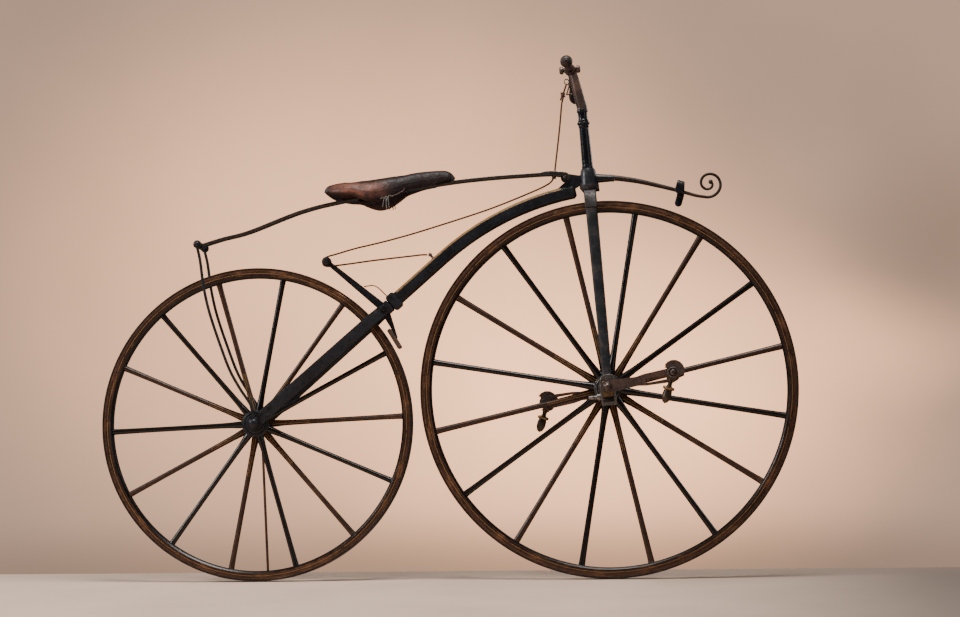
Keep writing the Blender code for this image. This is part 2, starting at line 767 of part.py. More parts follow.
def front_axle():
    """The through axle with a domed cap outside each crank."""
    cap_base = CRANK_OUTER + AXLE_CAP_STANDOFF
    top = domed(CRANK_CAP_RADIUS, cap_base, CRANK_CAP_HEIGHT)
    half = [*top, (FRONT_AXLE_RADIUS, cap_base)]
    other = [(radius, -height) for radius, height in reversed(half)]
    put("front_axle", turned(half + other), "bare_iron", FRONT_AXIS, turn=ALONG_Y)


def crank(side_name, side):
    """A crank arm with its boss, its slotted end and its eye."""
    half = CRANK_WIDTH / 2
    slot_start = CRANK_LENGTH - CRANK_SLOT_LENGTH
    end_half = CRANK_END_WIDTH / 2
    outline = [Vector((slot_start - CRANK_WIDTH, half)), Vector((slot_start, end_half))]
    outline += arc((CRANK_LENGTH, 0.0), CRANK_EYE_RADIUS, QUARTER_TURN, -QUARTER_TURN, 8)
    outline += [Vector((slot_start, -end_half)), Vector((slot_start - CRANK_WIDTH, -half))]
    outline += arc((0.0, 0.0), CRANK_HEAD_RADIUS, -QUARTER_TURN, -QUARTER_TURN - HALF_TURN, 8)
    mesh = plate(outline, CRANK_THICKNESS)
    reach = side * (CRANK_INNER + CRANK_THICKNESS / 2)
    turn = (QUARTER_TURN, 0.0 if side < 0 else HALF_TURN, 0.0)
    arm = empty(f"crank_{side_name}_axis", FRONT_AXIS, turn=(0.0, -CRANK_RISE, 0.0))
    piece = put(f"crank_{side_name}", mesh, "rusty_iron", arm, (0.0, reach, 0.0), turn)
    boss = cylinder(CRANK_BOSS_RADIUS, CRANK_BOSS_INNER, CRANK_OUTER - SEAT_GAP)
    facing = (-side * QUARTER_TURN, 0.0, 0.0)
    join(piece, boss, turn=facing)
    bore = cylinder(FRONT_AXLE_RADIUS + SEAT_GAP, CRANK_BOSS_INNER - CUT_OVERRUN, CRANK_OUTER + CUT_OVERRUN)
    cut(piece, bore, turn=facing)
    slot_end = CRANK_LENGTH - CRANK_EYE_RADIUS
    low = -CRANK_SLOT_WIDTH / 2 - CRANK_SLOT_DROP
    slot = box(
        (slot_start, -CRANK_OUTER - CUT_OVERRUN, low),
        (slot_end, CRANK_OUTER + CUT_OVERRUN, low + CRANK_SLOT_WIDTH),
    )
    cut(piece, slot, turn=(0.0, 0.0 if side < 0 else HALF_TURN, 0.0))
    hole = cylinder(PIN_RADIUS + SEAT_GAP, CRANK_INNER - CUT_OVERRUN, CRANK_OUTER + CUT_OVERRUN, SMALL_STEPS)
    cut(piece, hole, (-side * CRANK_LENGTH, 0.0, 0.0), facing)
    return arm


def pedal(side_name, side, arm):
    """The pin on the crank's end, and the tread with its weight that swing on it."""
    place = (-side * CRANK_LENGTH, 0.0, 0.0)
    facing = (-side * QUARTER_TURN, 0.0, 0.0)
    nut_end = CRANK_OUTER + SEAT_GAP + PIN_NUT_THICKNESS
    barrel_start = nut_end + PEDAL_PIN_CLEAR
    barrel_end = barrel_start + PEDAL_LENGTH
    cap = domed(PEDAL_BARREL_RADIUS, barrel_end + SEAT_GAP * 2, PIN_NUT_THICKNESS)
    back = CRANK_INNER - SEAT_GAP
    profile = [
        *cap,
        (PIN_RADIUS, barrel_end + SEAT_GAP * 2),
        (PIN_RADIUS, nut_end),
        (PIN_NUT_RADIUS, nut_end),
        (PIN_NUT_RADIUS, CRANK_OUTER + SEAT_GAP),
        (PIN_RADIUS, CRANK_OUTER + SEAT_GAP),
        (PIN_RADIUS, back),
        (PIN_NUT_RADIUS, back),
        (PIN_NUT_RADIUS, back - PIN_NUT_THICKNESS),
        (0.0, back - PIN_NUT_THICKNESS),
    ]
    put(f"pedal_pin_{side_name}", turned(profile, SMALL_STEPS), "bare_iron", arm, place, facing)

    pivot = empty(f"pedal_{side_name}_axis", arm, place, (0.0, CRANK_RISE, 0.0))
    hole = PIN_RADIUS + RUNNING_GAP
    barrel = [
        (hole, barrel_end), (PEDAL_BARREL_RADIUS, barrel_end),
        (PEDAL_BARREL_RADIUS, barrel_start), (hole, barrel_start), (hole, barrel_end),
    ]
    piece = put(f"pedal_tread_{side_name}", turned(barrel, SMALL_STEPS), "rusty_iron", pivot, turn=facing)
    middle = side * (barrel_start + barrel_end) / 2
    end_plate = plate(pedal_end_outline(), PEDAL_END_THICKNESS)
    inset = PEDAL_LENGTH / 2 - PEDAL_END_THICKNESS / 2
    for shift in (-inset, inset):
        join(piece, end_plate, (0.0, middle + shift, 0.0), SIDE_VIEW)
    join(piece, tread_plate(), (0.0, middle, 0.0), SIDE_VIEW)
    reach = barrel_end + CUT_OVERRUN
    cut(piece, cylinder(hole, -reach, reach, SMALL_STEPS), turn=facing)

    profile = [(0.0, -WEIGHT_DROP * WEIGHT_SHARES[0][0])]
    profile += [(WEIGHT_RADIUS * swell, -WEIGHT_DROP * share) for share, swell in WEIGHT_SHARES]
    tilt = (0.0, WEIGHT_TILT, 0.0)
    weight = put(
        f"pedal_weight_{side_name}", turned(profile, SMALL_STEPS), "brass", pivot, (0.0, middle, 0.0), tilt
    )
    seat = cylinder(PEDAL_BARREL_RADIUS + SEAT_GAP, -PEDAL_LENGTH / 2, PEDAL_LENGTH / 2)
    cut(weight, seat, (0.0, middle, 0.0), ALONG_Y)


def pedal_end_outline():
    """The end plate: a round cheek under a cap that runs out to a point at the back."""
    cap_centre = (CAP_FORWARD, CAP_RISE)
    cap = arc(cap_centre, CAP_RADIUS, CAP_START, CAP_END, CAP_PIECES)
    cheek = arc((0.0, 0.0), PEDAL_END_RADIUS, CHEEK_START, CHEEK_END, CHEEK_PIECES)
    return [tuple(point) for point in cap + cheek]


def tread_plate():
    """The curved foot plate between the end plates."""
    cap_centre = (CAP_FORWARD, CAP_RISE)
    over = arc(cap_centre, CAP_RADIUS - SEAT_GAP, CAP_START - CAP_TRIM, CAP_END + CAP_TRIM, 6)
    inner = CAP_RADIUS - TREAD_THICKNESS
    under = arc(cap_centre, inner, CAP_END + CAP_TRIM, CAP_START - CAP_TRIM, 6)
    return plate([tuple(point) for point in over + under], PEDAL_LENGTH - PEDAL_END_THICKNESS)


front_axle()
for SIDE_NAME, SIDE in SIDES:
    pedal(SIDE_NAME, SIDE, crank(SIDE_NAME, SIDE))


# Front fork and steering column


def crown():
    """The forged arch over the tyre, with a round head that seats under the barrel."""
    arch = FRONT_WHEEL_RADIUS + CROWN_ARCH_CLEAR
    inner = CROWN_LEG_INNER
    right_side = [
        (inner, CROWN_LEG_BOTTOM), (CROWN_LEG_OUTER, CROWN_LEG_BOTTOM),
        (CROWN_LEG_OUTER - CROWN_EDGE / 3, arch + CROWN_EDGE / 6),
        (HEAD_FOOT_RADIUS - CROWN_EDGE / 2, CROWN_SHOULDER + CROWN_EDGE),
    ]
    left_side = [(-across, up) for across, up in reversed(right_side)]
    corner = arc((CROWN_EDGE - inner, arch - CROWN_EDGE), CROWN_EDGE, HALF_TURN, QUARTER_TURN, 3)
    roof = [tuple(point) for point in corner]
    roof += [(-across, up) for across, up in reversed(roof)]
    outline = right_side + left_side + roof
    mesh = plate(outline, CROWN_THICKNESS)
    piece = put("fork_crown", mesh, "black_iron", STEERING, turn=FRONT_VIEW)
    chamfer(piece, CROWN_EDGE / 3)
    join(piece, turned([
        (0.0, CROWN_TOP), (CROWN_DISC_RADIUS, CROWN_TOP),
        (CROWN_DISC_RADIUS, CROWN_TOP - CROWN_EDGE),
        (CROWN_DISC_RADIUS * BLADE_FLATNESS_SHARE, CROWN_DISC_BOTTOM), (0.0, CROWN_DISC_BOTTOM),
    ]))
    bolt = cylinder(CROWN_BOLT_RADIUS, 0.0, CROWN_BOLT_REACH, SMALL_STEPS)
    join(piece, bolt, (0.0, 0.0, CROWN_BOLT_HEIGHT), ALONG_X)


def blade(side_name, side):
    """A tapered fork blade of oval section, from the crown's leg to the bearing."""
    top = Vector((0.0, side * BLADE_TOP_SPREAD, BLADE_TOP - SEAT_GAP))
    spread = FORK_BEARING_INNER + FORK_BEARING_THICKNESS / 2
    foot = Vector((0.0, side * spread, FORK_BEARING_TOP + SEAT_GAP * 2))
    along = top - foot
    mesh = turned([
        (0.0, along.length), (BLADE_TOP_WIDTH / 2, along.length),
        (BLADE_BOTTOM_WIDTH / 2, 0.0), (0.0, 0.0),
    ])
    mesh.transform(Matrix.Diagonal((1.0, BLADE_FLATNESS_SHARE, 1.0, 1.0)))
    lean = math.atan2(along.y, along.z)
    piece = put(f"fork_blade_{side_name}", mesh, "black_iron", STEERING, foot, (-lean, 0.0, 0.0))
    level = box(
        (-CROWN_THICKNESS, -spread * 2, BLADE_TOP - SEAT_GAP), (CROWN_THICKNESS, spread * 2, CROWN_TOP)
    )
    cut(piece, level)
    floor = box((-CROWN_THICKNESS, -spread * 2, 0.0), (CROWN_THICKNESS, spread * 2, foot.z))
    cut(piece, floor)


def fork_bearing(side_name, side):
    """The open frame at the blade's foot, its clamp bolt, and the brass that carries the axle."""
    half = FORK_BEARING_HALF_WIDTH
    outline = [
        (-half, FORK_BEARING_BOTTOM), (half, FORK_BEARING_BOTTOM), (half, FORK_BEARING_TOP - half),
        *[tuple(point) for point in arc((0.0, FORK_BEARING_TOP - half), half, 0.0, HALF_TURN, 10)][1:-1],
        (-half, FORK_BEARING_TOP - half),
    ]
    middle = side * (FORK_BEARING_INNER + FORK_BEARING_THICKNESS / 2)
    mesh = plate(outline, FORK_BEARING_THICKNESS)
    piece = put(f"fork_bearing_{side_name}", mesh, "bare_iron", STEERING, (0.0, middle, 0.0), SIDE_VIEW)
    top = box(
        (-BLADE_TOP_WIDTH, -FORK_BEARING_THICKNESS, FORK_BEARING_TOP),
        (BLADE_TOP_WIDTH, FORK_BEARING_THICKNESS, FORK_BEARING_TOP * 2),
    )
    cut(piece, top, (0.0, middle, 0.0))
    window = box(
        (-FORK_WINDOW_HALF_WIDTH, -FORK_BEARING_THICKNESS, FORK_WINDOW_BOTTOM),
        (FORK_WINDOW_HALF_WIDTH, FORK_BEARING_THICKNESS, FORK_WINDOW_TOP),
    )
    cut(piece, window, (0.0, middle, 0.0))
    shank = turned([
        (0.0, half + CLAMP_BOLT_LENGTH), (CLAMP_BOLT_RADIUS, half + CLAMP_BOLT_LENGTH),
        (CLAMP_BOLT_RADIUS, half + CLAMP_NUT_LENGTH), (CLAMP_NUT_RADIUS, half + CLAMP_NUT_LENGTH),
        (CLAMP_NUT_RADIUS, half - JOIN_OVERLAP), (0.0, half - JOIN_OVERLAP),
    ], SMALL_STEPS)
    join(piece, shank, (0.0, middle, CLAMP_BOLT_HEIGHT), ALONG_MINUS_X)

    width = FORK_WINDOW_HALF_WIDTH - SEAT_GAP
    block = plate(
        [(-width, BRASS_BOTTOM), (width, BRASS_BOTTOM),
         (width, FORK_WINDOW_TOP - SEAT_GAP), (-width, FORK_WINDOW_TOP - SEAT_GAP)],
        FORK_BEARING_THICKNESS + BRASS_STEP * 2,
    )
    brass = put(f"bearing_brass_{side_name}", block, "brass", STEERING, (0.0, middle, 0.0), SIDE_VIEW)
    reach = FORK_BEARING_THICKNESS
    bore = cylinder(FRONT_AXLE_RADIUS + RUNNING_GAP, -reach, reach)
    cut(brass, bore, (0.0, middle, 0.0), ALONG_Y)


def steering_column():
    """The stem in the head barrel, and the tapered column over it with its turned collar."""
    foot = HEAD_TOP + SEAT_GAP
    profile = [
        (0.0, COLUMN_TOP), (BAND_RADIUS, COLUMN_TOP), (BAND_RADIUS, COLUMN_TOP - BAND_WIDTH),
        (COLUMN_TOP_RADIUS, COLUMN_TOP - BAND_WIDTH), (COLUMN_TOP_RADIUS, COLLAR_HEIGHT + COLLAR_WIDTH),
        (COLLAR_RADIUS, COLLAR_HEIGHT + COLLAR_WIDTH / 2), (COLLAR_RADIUS, COLLAR_HEIGHT - COLLAR_WIDTH / 4),
        (COLUMN_TOP_RADIUS, COLLAR_HEIGHT - COLLAR_WIDTH), (COLUMN_FOOT_RADIUS, foot + COLLAR_WIDTH),
        (COLUMN_FOOT_RADIUS, foot), (STEM_RADIUS, foot), (STEM_RADIUS, CROWN_TOP + SEAT_GAP),
        (0.0, CROWN_TOP + SEAT_GAP),
    ]
    put("steering_column", turned(profile), "black_iron", STEERING)


def neck():
    """The neck that leans back to the handlebar clamp, its two knobs and the cord's eye."""
    rise = CLAMP_HEIGHT - COLUMN_TOP
    path = []
    for back, up in NECK_SHARES:
        path.append((-CLAMP_SETBACK * back, 0.0, COLUMN_TOP + SEAT_GAP + (rise - SEAT_GAP) * up))
    radii = [NECK_FOOT_RADIUS * share for share in NECK_TAPER_SHARES]
    piece = put("handlebar_stem", tube(path, radii, NECK_SIDES), "rusty_iron", STEERING)
    clamp = cylinder(CLAMP_RADIUS, -CLAMP_HALF, CLAMP_HALF)
    place = (-CLAMP_SETBACK, 0.0, CLAMP_HEIGHT)
    join(piece, clamp, place, ALONG_Y)
    cut(piece, cylinder(HANDLEBAR_RADIUS + SEAT_GAP, -CLAMP_RADIUS * 2, CLAMP_RADIUS * 2), place, ALONG_Y)
    eye = [
        (-CLAMP_SETBACK / 2, EYE_HEIGHT - EYE_HALF_HEIGHT), (-EYE_REACH, EYE_HEIGHT - EYE_HALF_HEIGHT),
        (-EYE_REACH, EYE_HEIGHT), (-CLAMP_SETBACK, EYE_HEIGHT + EYE_HALF_HEIGHT),
    ]
    join(piece, plate(eye, EYE_THICKNESS), turn=SIDE_VIEW)
    hole = cylinder(EYE_HOLE_RADIUS, -EYE_THICKNESS, EYE_THICKNESS, SMALL_STEPS)
    cut(piece, hole, (-EYE_REACH + EYE_HOLE_RADIUS * 2, 0.0, EYE_HEIGHT - EYE_HOLE_RADIUS), ALONG_Y)
    for facing in (ALONG_X, ALONG_MINUS_X):
        knob = turned([
            (0.0, KNOB_REACH), (KNOB_RADIUS / 2, KNOB_REACH), (KNOB_RADIUS, KNOB_REACH - KNOB_RADIUS / 2),
            (KNOB_RADIUS, KNOB_REACH - KNOB_RADIUS), (KNOB_NECK_RADIUS, KNOB_REACH - KNOB_RADIUS),
            (KNOB_NECK_RADIUS, CLAMP_RADIUS - JOIN_OVERLAP), (0.0, CLAMP_RADIUS - JOIN_OVERLAP),
        ], SMALL_STEPS)
        join(piece, knob, place, facing)


def handlebar():
    """The drooping bar and its two pear-shaped wooden grips."""
    half = HANDLEBAR_HALF - GRIP_LENGTH - SEAT_GAP
    side_points = []
    for out, drop in HANDLEBAR_SHARES:
        side_points.append((-CLAMP_SETBACK, HANDLEBAR_HALF * out, CLAMP_HEIGHT - HANDLEBAR_DROOP * drop))
    smooth_side = flowing(side_points, 3)
    inside = [point for point in smooth_side if point.y <= half]
    outside = smooth_side[len(inside)]
    last = inside[-1]
    end = last + (outside - last) * (half - last.y) / (outside.y - last.y)
    arm = [*inside, end]
    path = [Vector((point.x, -point.y, point.z)) for point in reversed(arm[1:])] + arm
    put("handlebar", tube(path, [HANDLEBAR_RADIUS] * len(path), BAR_SIDES), "rusty_iron", STEERING)
    tip = smooth_side[-1]
    drop = math.atan2(end.z - tip.z, tip.y - end.y)
    length = (tip - end).length
    profile = [(GRIP_RADIUS * swell, length * (1 - share)) for share, swell in GRIP_SHARES]
    for side_name, side in SIDES:
        place = (end.x, side * (half + SEAT_GAP), end.z)
        turn = (-side * (QUARTER_TURN + drop), 0.0, 0.0)
        put(f"grip_{side_name}", turned(profile, SMALL_STEPS), "grip_wood", STEERING, place, turn)


FRONT_VIEW = (QUARTER_TURN, 0.0, QUARTER_TURN)
ALONG_X = (0.0, QUARTER_TURN, 0.0)
ALONG_MINUS_X = (0.0, -QUARTER_TURN, 0.0)

crown()
steering_column()
neck()
handlebar()
for SIDE_NAME, SIDE in SIDES:
    blade(SIDE_NAME, SIDE)
    fork_bearing(SIDE_NAME, SIDE)


# Backbone

TILT_UP = Vector((math.cos(BACKBONE_ANGLE), math.sin(BACKBONE_ANGLE)))
TILT_SIDE = Vector((-TILT_UP.y, TILT_UP.x))
REAR_CENTRE = Vector((-WHEELBASE, REAR_WHEEL_RADIUS))
BEND_CENTRE = REAR_CENTRE + TILT_UP * BACKBONE_STRAIGHT - TILT_SIDE * BACKBONE_BEND_RADIUS
STEER_UP = Vector((-math.sin(STEERING_RAKE), math.cos(STEERING_RAKE)))
STEER_FORE = Vector((math.cos(STEERING_RAKE), math.sin(STEERING_RAKE)))
FRONT_CENTRE = Vector((0.0, FRONT_WHEEL_RADIUS))


def along_backbone(distance, rise=0.0):
    """A side-view point on the straight run, measured from the rear axle."""
    return REAR_CENTRE + TILT_UP * distance + TILT_SIDE * rise


def by_steering(fore, up):
    """A side-view point given from the front axle, across and along the steering axis."""
    return FRONT_CENTRE + STEER_FORE * fore + STEER_UP * up


def backbone_line():
    """The middle line of the backbone, from its lower end to the head."""
    bend = arc(
        BEND_CENTRE, BACKBONE_BEND_RADIUS, QUARTER_TURN + BACKBONE_ANGLE,
        QUARTER_TURN + BACKBONE_HEAD_ANGLE, BEND_PIECES,
    )
    return [along_backbone(BACKBONE_END), *bend]


def backbone():
    """Spine, web and lug, head barrel and front bracket, forged as one."""
    line = backbone_line()
    outline = strip(line, [BACKBONE_DEPTH] * len(line))
    mesh = plate(outline, BACKBONE_WIDTH)
    piece = put("backbone", mesh, "black_iron", STANCE, turn=SIDE_VIEW)
    chamfer(piece, BACKBONE_CHAMFER)

    height = HEAD_TOP - HEAD_BOTTOM
    rim = HEAD_FOOT_RADIUS - HEAD_TOP_RADIUS
    profile = [(0.0, HEAD_TOP)]
    for swell, up in reversed(HEAD_SHARES):
        profile.append((HEAD_TOP_RADIUS + rim * swell, HEAD_BOTTOM + height * up))
    profile.append((0.0, HEAD_BOTTOM))
    axis_foot = (0.0, 0.0, FRONT_WHEEL_RADIUS)
    join(piece, turned(profile), axis_foot, (0.0, -STEERING_RAKE, 0.0))

    lug = by_steering(-LUG_BACK, LUG_HEIGHT)
    tip = line[-1]
    web = [
        by_steering(0.0, HEAD_TOP - HEAD_TOP_RADIUS),
        by_steering(-HEAD_FOOT_RADIUS, HEAD_TOP - HEAD_TOP_RADIUS),
        *arc(lug, LUG_RADIUS, QUARTER_TURN, QUARTER_TURN + HALF_TURN, 6),
        line[-3],
        line[-2],
        by_steering(-HEAD_FOOT_RADIUS, HEAD_BOTTOM + CUT_OVERRUN),
        by_steering(-STEM_RADIUS, HEAD_BOTTOM + CUT_OVERRUN),
    ]
    join(piece, plate([tuple(point) for point in web], WEB_THICKNESS), turn=SIDE_VIEW)

    saddle_top = tip + Vector((0.0, BACKBONE_SADDLE_RISE))
    neck_block = [
        tuple((tip + line[-2]) / 2),
        tuple(saddle_top + (line[-2] - tip) / 2),
        tuple(by_steering(-STEM_RADIUS, HEAD_BOTTOM + HEAD_FOOT_RADIUS)),
        tuple(by_steering(-STEM_RADIUS, HEAD_BOTTOM + JOIN_OVERLAP)),
        tuple(by_steering(-HEAD_FOOT_RADIUS, HEAD_BOTTOM + JOIN_OVERLAP)),
    ]
    join(piece, plate(neck_block, BACKBONE_WIDTH - BACKBONE_CHAMFER), turn=SIDE_VIEW)

    root = by_steering(0.0, BRACKET_HEIGHT)
    bracket = turned([
        (0.0, BRACKET_LENGTH), (BRACKET_TIP_RADIUS, BRACKET_LENGTH),
        (BRACKET_TIP_RADIUS, BRACKET_LENGTH - BRACKET_TIP_RADIUS),
        (BRACKET_ROOT_RADIUS, BRACKET_LENGTH / 3), (BRACKET_ROOT_RADIUS, 0.0), (0.0, 0.0),
    ])
    join(piece, bracket, (root.x, 0.0, root.y), ALONG_X)

    bore = cylinder(STEM_RADIUS + RUNNING_GAP, HEAD_BOTTOM - HEAD_TOP_RADIUS, HEAD_TOP + HEAD_TOP_RADIUS)
    cut(piece, bore, axis_foot, (0.0, -STEERING_RAKE, 0.0))
    hole = cylinder(SPRING_PIN_RADIUS + SEAT_GAP, -WEB_THICKNESS, WEB_THICKNESS, SMALL_STEPS)
    cut(piece, hole, (lug.x, 0.0, lug.y), ALONG_Y)


# Rear fork, rear axle and collar


def backbone_collar():
    """The sleeve where the two arms meet the backbone."""
    half_depth = BACKBONE_DEPTH / 2
    half_width = BACKBONE_WIDTH / 2
    start = BACKBONE_END
    wall = COLLAR_WALL
    outer = box(
        (start, -half_width - wall, -half_depth - wall),
        (start + COLLAR_LENGTH, half_width + wall, half_depth + wall),
    )
    turn = (0.0, -BACKBONE_ANGLE, 0.0)
    place = (REAR_CENTRE.x, 0.0, REAR_CENTRE.y)
    piece = put("backbone_collar", outer, "black_iron", STANCE, place, turn)
    chamfer(piece, COLLAR_WALL)
    gap = SEAT_GAP
    inner = box(
        (start - CUT_OVERRUN, -half_width - gap, -half_depth - gap),
        (start + COLLAR_LENGTH + CUT_OVERRUN, half_width + gap, half_depth + gap),
    )
    cut(piece, inner, place, turn)


def rear_arm(side_name, side):
    """One arm of the rear fork: shouldered beside the tyre, with an eye on the axle."""
    front = BACKBONE_END - SEAT_GAP
    knots = [(front * along, side * ARM_SPREAD * out, 0.0) for along, out in ARM_SHOULDER_SHARES]
    path = [Vector((point.x, point.y)) for point in flowing(knots, 2)]
    outline = strip(path, [ARM_THICKNESS] * len(path))
    place = (REAR_CENTRE.x, 0.0, REAR_CENTRE.y)
    turn = (0.0, -BACKBONE_ANGLE, 0.0)
    piece = put(f"rear_fork_{side_name}", plate(outline, ARM_WIDTH), "black_iron", STANCE, place, turn)
    chamfer(piece, ARM_EDGE)
    middle = side * ARM_SPREAD
    eye = cylinder(ARM_EYE_RADIUS, -ARM_THICKNESS / 2, ARM_THICKNESS / 2)
    join(piece, eye, (place[0], middle, place[2]), ALONG_Y)
    bore = cylinder(REAR_AXLE_RADIUS + SEAT_GAP, -ARM_THICKNESS, ARM_THICKNESS)
    cut(piece, bore, (place[0], middle, place[2]), ALONG_Y)
    pivot = along_backbone(LEVER_PIVOT_ALONG, LEVER_PIVOT_RISE)
    hole = cylinder(LEVER_BOLT_RADIUS + SEAT_GAP, -ARM_SPREAD, ARM_SPREAD, SMALL_STEPS)
    cut(piece, hole, (pivot.x, 0.0, pivot.y), ALONG_Y)


def rear_axle():
    """The fixed rear axle with a domed nut outside each strut's eye."""
    base = ARM_SPREAD + ARM_THICKNESS / 2 + STRUT_FOOT_THICKNESS + SEAT_GAP * 2
    nut = REAR_NUT_LENGTH
    top = domed(REAR_NUT_RADIUS, base + nut / 2, nut / 2)
    half = [*top, (REAR_NUT_RADIUS, base), (REAR_AXLE_RADIUS, base)]
    other = [(radius, -height) for radius, height in reversed(half)]
    place = (REAR_CENTRE.x, 0.0, REAR_CENTRE.y)
    put("rear_axle", turned(half + other, SMALL_STEPS), "black_iron", STANCE, place, ALONG_Y)
    return base


backbone()
backbone_collar()
REAR_NUT_BASE = rear_axle()
for SIDE_NAME, SIDE in SIDES:
    rear_arm(SIDE_NAME, SIDE)


# Seat spring, its pins and the struts


def spring_line():
    """The middle line of the leaf, from the rear pin to its front hook."""
    rear = Vector(SPRING_REAR)
    knots = [
        (rear.x + SPRING_LENGTH * along, rear.y + SPRING_RISE * up, 0.0)
        for along, up in SPRING_FRONT_RISE_SHARES
    ]
    lug = by_steering(-LUG_BACK, LUG_HEIGHT)
    path = [Vector((point.x, point.y)) for point in flowing(knots, 2)]
    radius = SPRING_PIN_RADIUS + SEAT_GAP + SPRING_THICKNESS / 2
    hook = arc(lug, radius, QUARTER_TURN, -QUARTER_TURN / 2, 6)
    return path + hook


def seat_spring():
    """The long leaf: an eye on the rear pin, a forked hook over the front pin."""
    line = spring_line()
    outline = strip(line, [SPRING_THICKNESS] * len(line))
    piece = put("seat_spring", plate(outline, SPRING_WIDTH), "spring_steel", STANCE, turn=SIDE_VIEW)
    rear = SPRING_REAR
    eye = cylinder(SPRING_EYE_RADIUS, -SPRING_WIDTH / 2, SPRING_WIDTH / 2, SMALL_STEPS)
    join(piece, eye, (rear[0], 0.0, rear[1]), ALONG_Y)
    cut(
        piece, cylinder(SPRING_PIN_RADIUS + SEAT_GAP, -SPRING_WIDTH, SPRING_WIDTH, SMALL_STEPS),
        (rear[0], 0.0, rear[1]), ALONG_Y,
    )
    lug = by_steering(-LUG_BACK, LUG_HEIGHT)
    half = SPRING_FORK_WIDTH / 2
    slot = box(
        (lug.x - SPRING_FORK_LENGTH / 2, -half, lug.y - SPRING_FORK_LENGTH),
        (lug.x + SPRING_FORK_LENGTH, half, lug.y + SPRING_FORK_LENGTH),
    )
    cut(piece, slot)
    hole = cylinder(CORD_RADIUS * 2, -SPRING_THICKNESS * 2, SPRING_THICKNESS * 2, SMALL_STEPS)
    cut(piece, hole, CORD_HOLE)
    return piece


def spring_pins():
    """The ball-ended rear cross pin and the plain front pin."""
    ball = domed(SPRING_BALL_RADIUS, SPRING_PIN_HALF, SPRING_BALL_RADIUS)
    half = [*ball, (SPRING_PIN_RADIUS, SPRING_PIN_HALF)]
    other = [(radius, -height) for radius, height in reversed(half)]
    place = (SPRING_REAR[0], 0.0, SPRING_REAR[1])
    put("spring_rear_pin", turned(half + other, SMALL_STEPS), "black_iron", STANCE, place, ALONG_Y)
    lug = by_steering(-LUG_BACK, LUG_HEIGHT)
    reach = SPRING_WIDTH / 2 + CLAMP_BOLT_RADIUS
    pin = cylinder(SPRING_PIN_RADIUS, -reach, reach, SMALL_STEPS)
    put("spring_front_pin", pin, "black_iron", STANCE, (lug.x, 0.0, lug.y), ALONG_Y)


def strut(side_name, side):
    """A bent rod from the spring's rear pin to the rear axle, with an eye at each end."""
    top_spread = STRUT_TOP_SPREAD
    foot_spread = REAR_NUT_BASE - SEAT_GAP - STRUT_FOOT_THICKNESS / 2
    rod_spread = ARM_SPREAD + ARM_THICKNESS / 2 + SEAT_GAP + STRUT_RADIUS
    across = REAR_CENTRE.x - SPRING_REAR[0]
    down = SPRING_REAR[1] - REAR_CENTRE.y
    knots = []
    for over, drop in STRUT_SHARES:
        spread = top_spread + (rod_spread - top_spread) * min(drop * STRUT_SPREAD_SHARE, 1.0)
        knots.append((SPRING_REAR[0] + across * over, side * spread, SPRING_REAR[1] - down * drop))
    knots.append((REAR_CENTRE.x, side * rod_spread, REAR_CENTRE.y + REAR_NUT_RADIUS + SEAT_GAP * 2))
    knots[0] = (SPRING_REAR[0], side * top_spread, SPRING_REAR[1] - SPRING_EYE_RADIUS)
    path = flowing(knots, 2)
    piece = put(f"strut_{side_name}", tube(path, [STRUT_RADIUS] * len(path)), "black_iron", STANCE)
    half = STRUT_FOOT_THICKNESS / 2
    eyes = (
        (SPRING_REAR, top_spread, SPRING_EYE_RADIUS + STRUT_RADIUS / 2, SPRING_PIN_RADIUS),
        (REAR_CENTRE, foot_spread, STRUT_EYE_RADIUS + STRUT_RADIUS / 2, REAR_AXLE_RADIUS),
    )
    for centre, spread, outer, inner in eyes:
        place = (centre[0], side * spread, centre[1])
        join(piece, cylinder(outer, -half, half, SMALL_STEPS), place, ALONG_Y)
        bore = cylinder(inner + SEAT_GAP * 2, -half - CUT_OVERRUN, half + CUT_OVERRUN, SMALL_STEPS)
        cut(piece, bore, place, ALONG_Y)


CORD_HOLE = (CORD_HOLE_FORWARD, 0.0, SPRING_REAR[1] + SPRING_RISE)

seat_spring()
spring_pins()
for SIDE_NAME, SIDE in SIDES:
    strut(SIDE_NAME, SIDE)


# Saddle


def spring_top(forward):
    """The height of the leaf's upper face at a place along the machine."""
    line = spring_line()
    for before, after in zip(line, line[1:]):
        if before.x <= forward <= after.x:
            share = (forward - before.x) / (after.x - before.x)
            slope = (after - before).normalized()
            return before.y + (after.y - before.y) * share + SPRING_THICKNESS / 2 / slope.x
    return line[0].y


def saddle_section(forward, half_width, top, edge, narrow):
    """Half of one cross-section of the leather: the crown, the skirt, and the seat on the leaf."""
    seat = max(spring_top(forward) + SADDLE_SEAT_GAP, edge)
    inner = SPRING_WIDTH / 2 + SADDLE_SEAT_MARGIN
    skirt = half_width * SADDLE_SKIRT_SHARE
    if narrow:
        edge = seat
        inner = skirt * SADDLE_SKIRT_SHARE
    points = [(half_width * out, edge + (top - edge) * up) for out, up in SADDLE_SECTION_SHARES]
    points.append((skirt, edge + (seat - edge) / 8))
    points.append((inner, seat))
    points.append((0.0, seat))
    return points


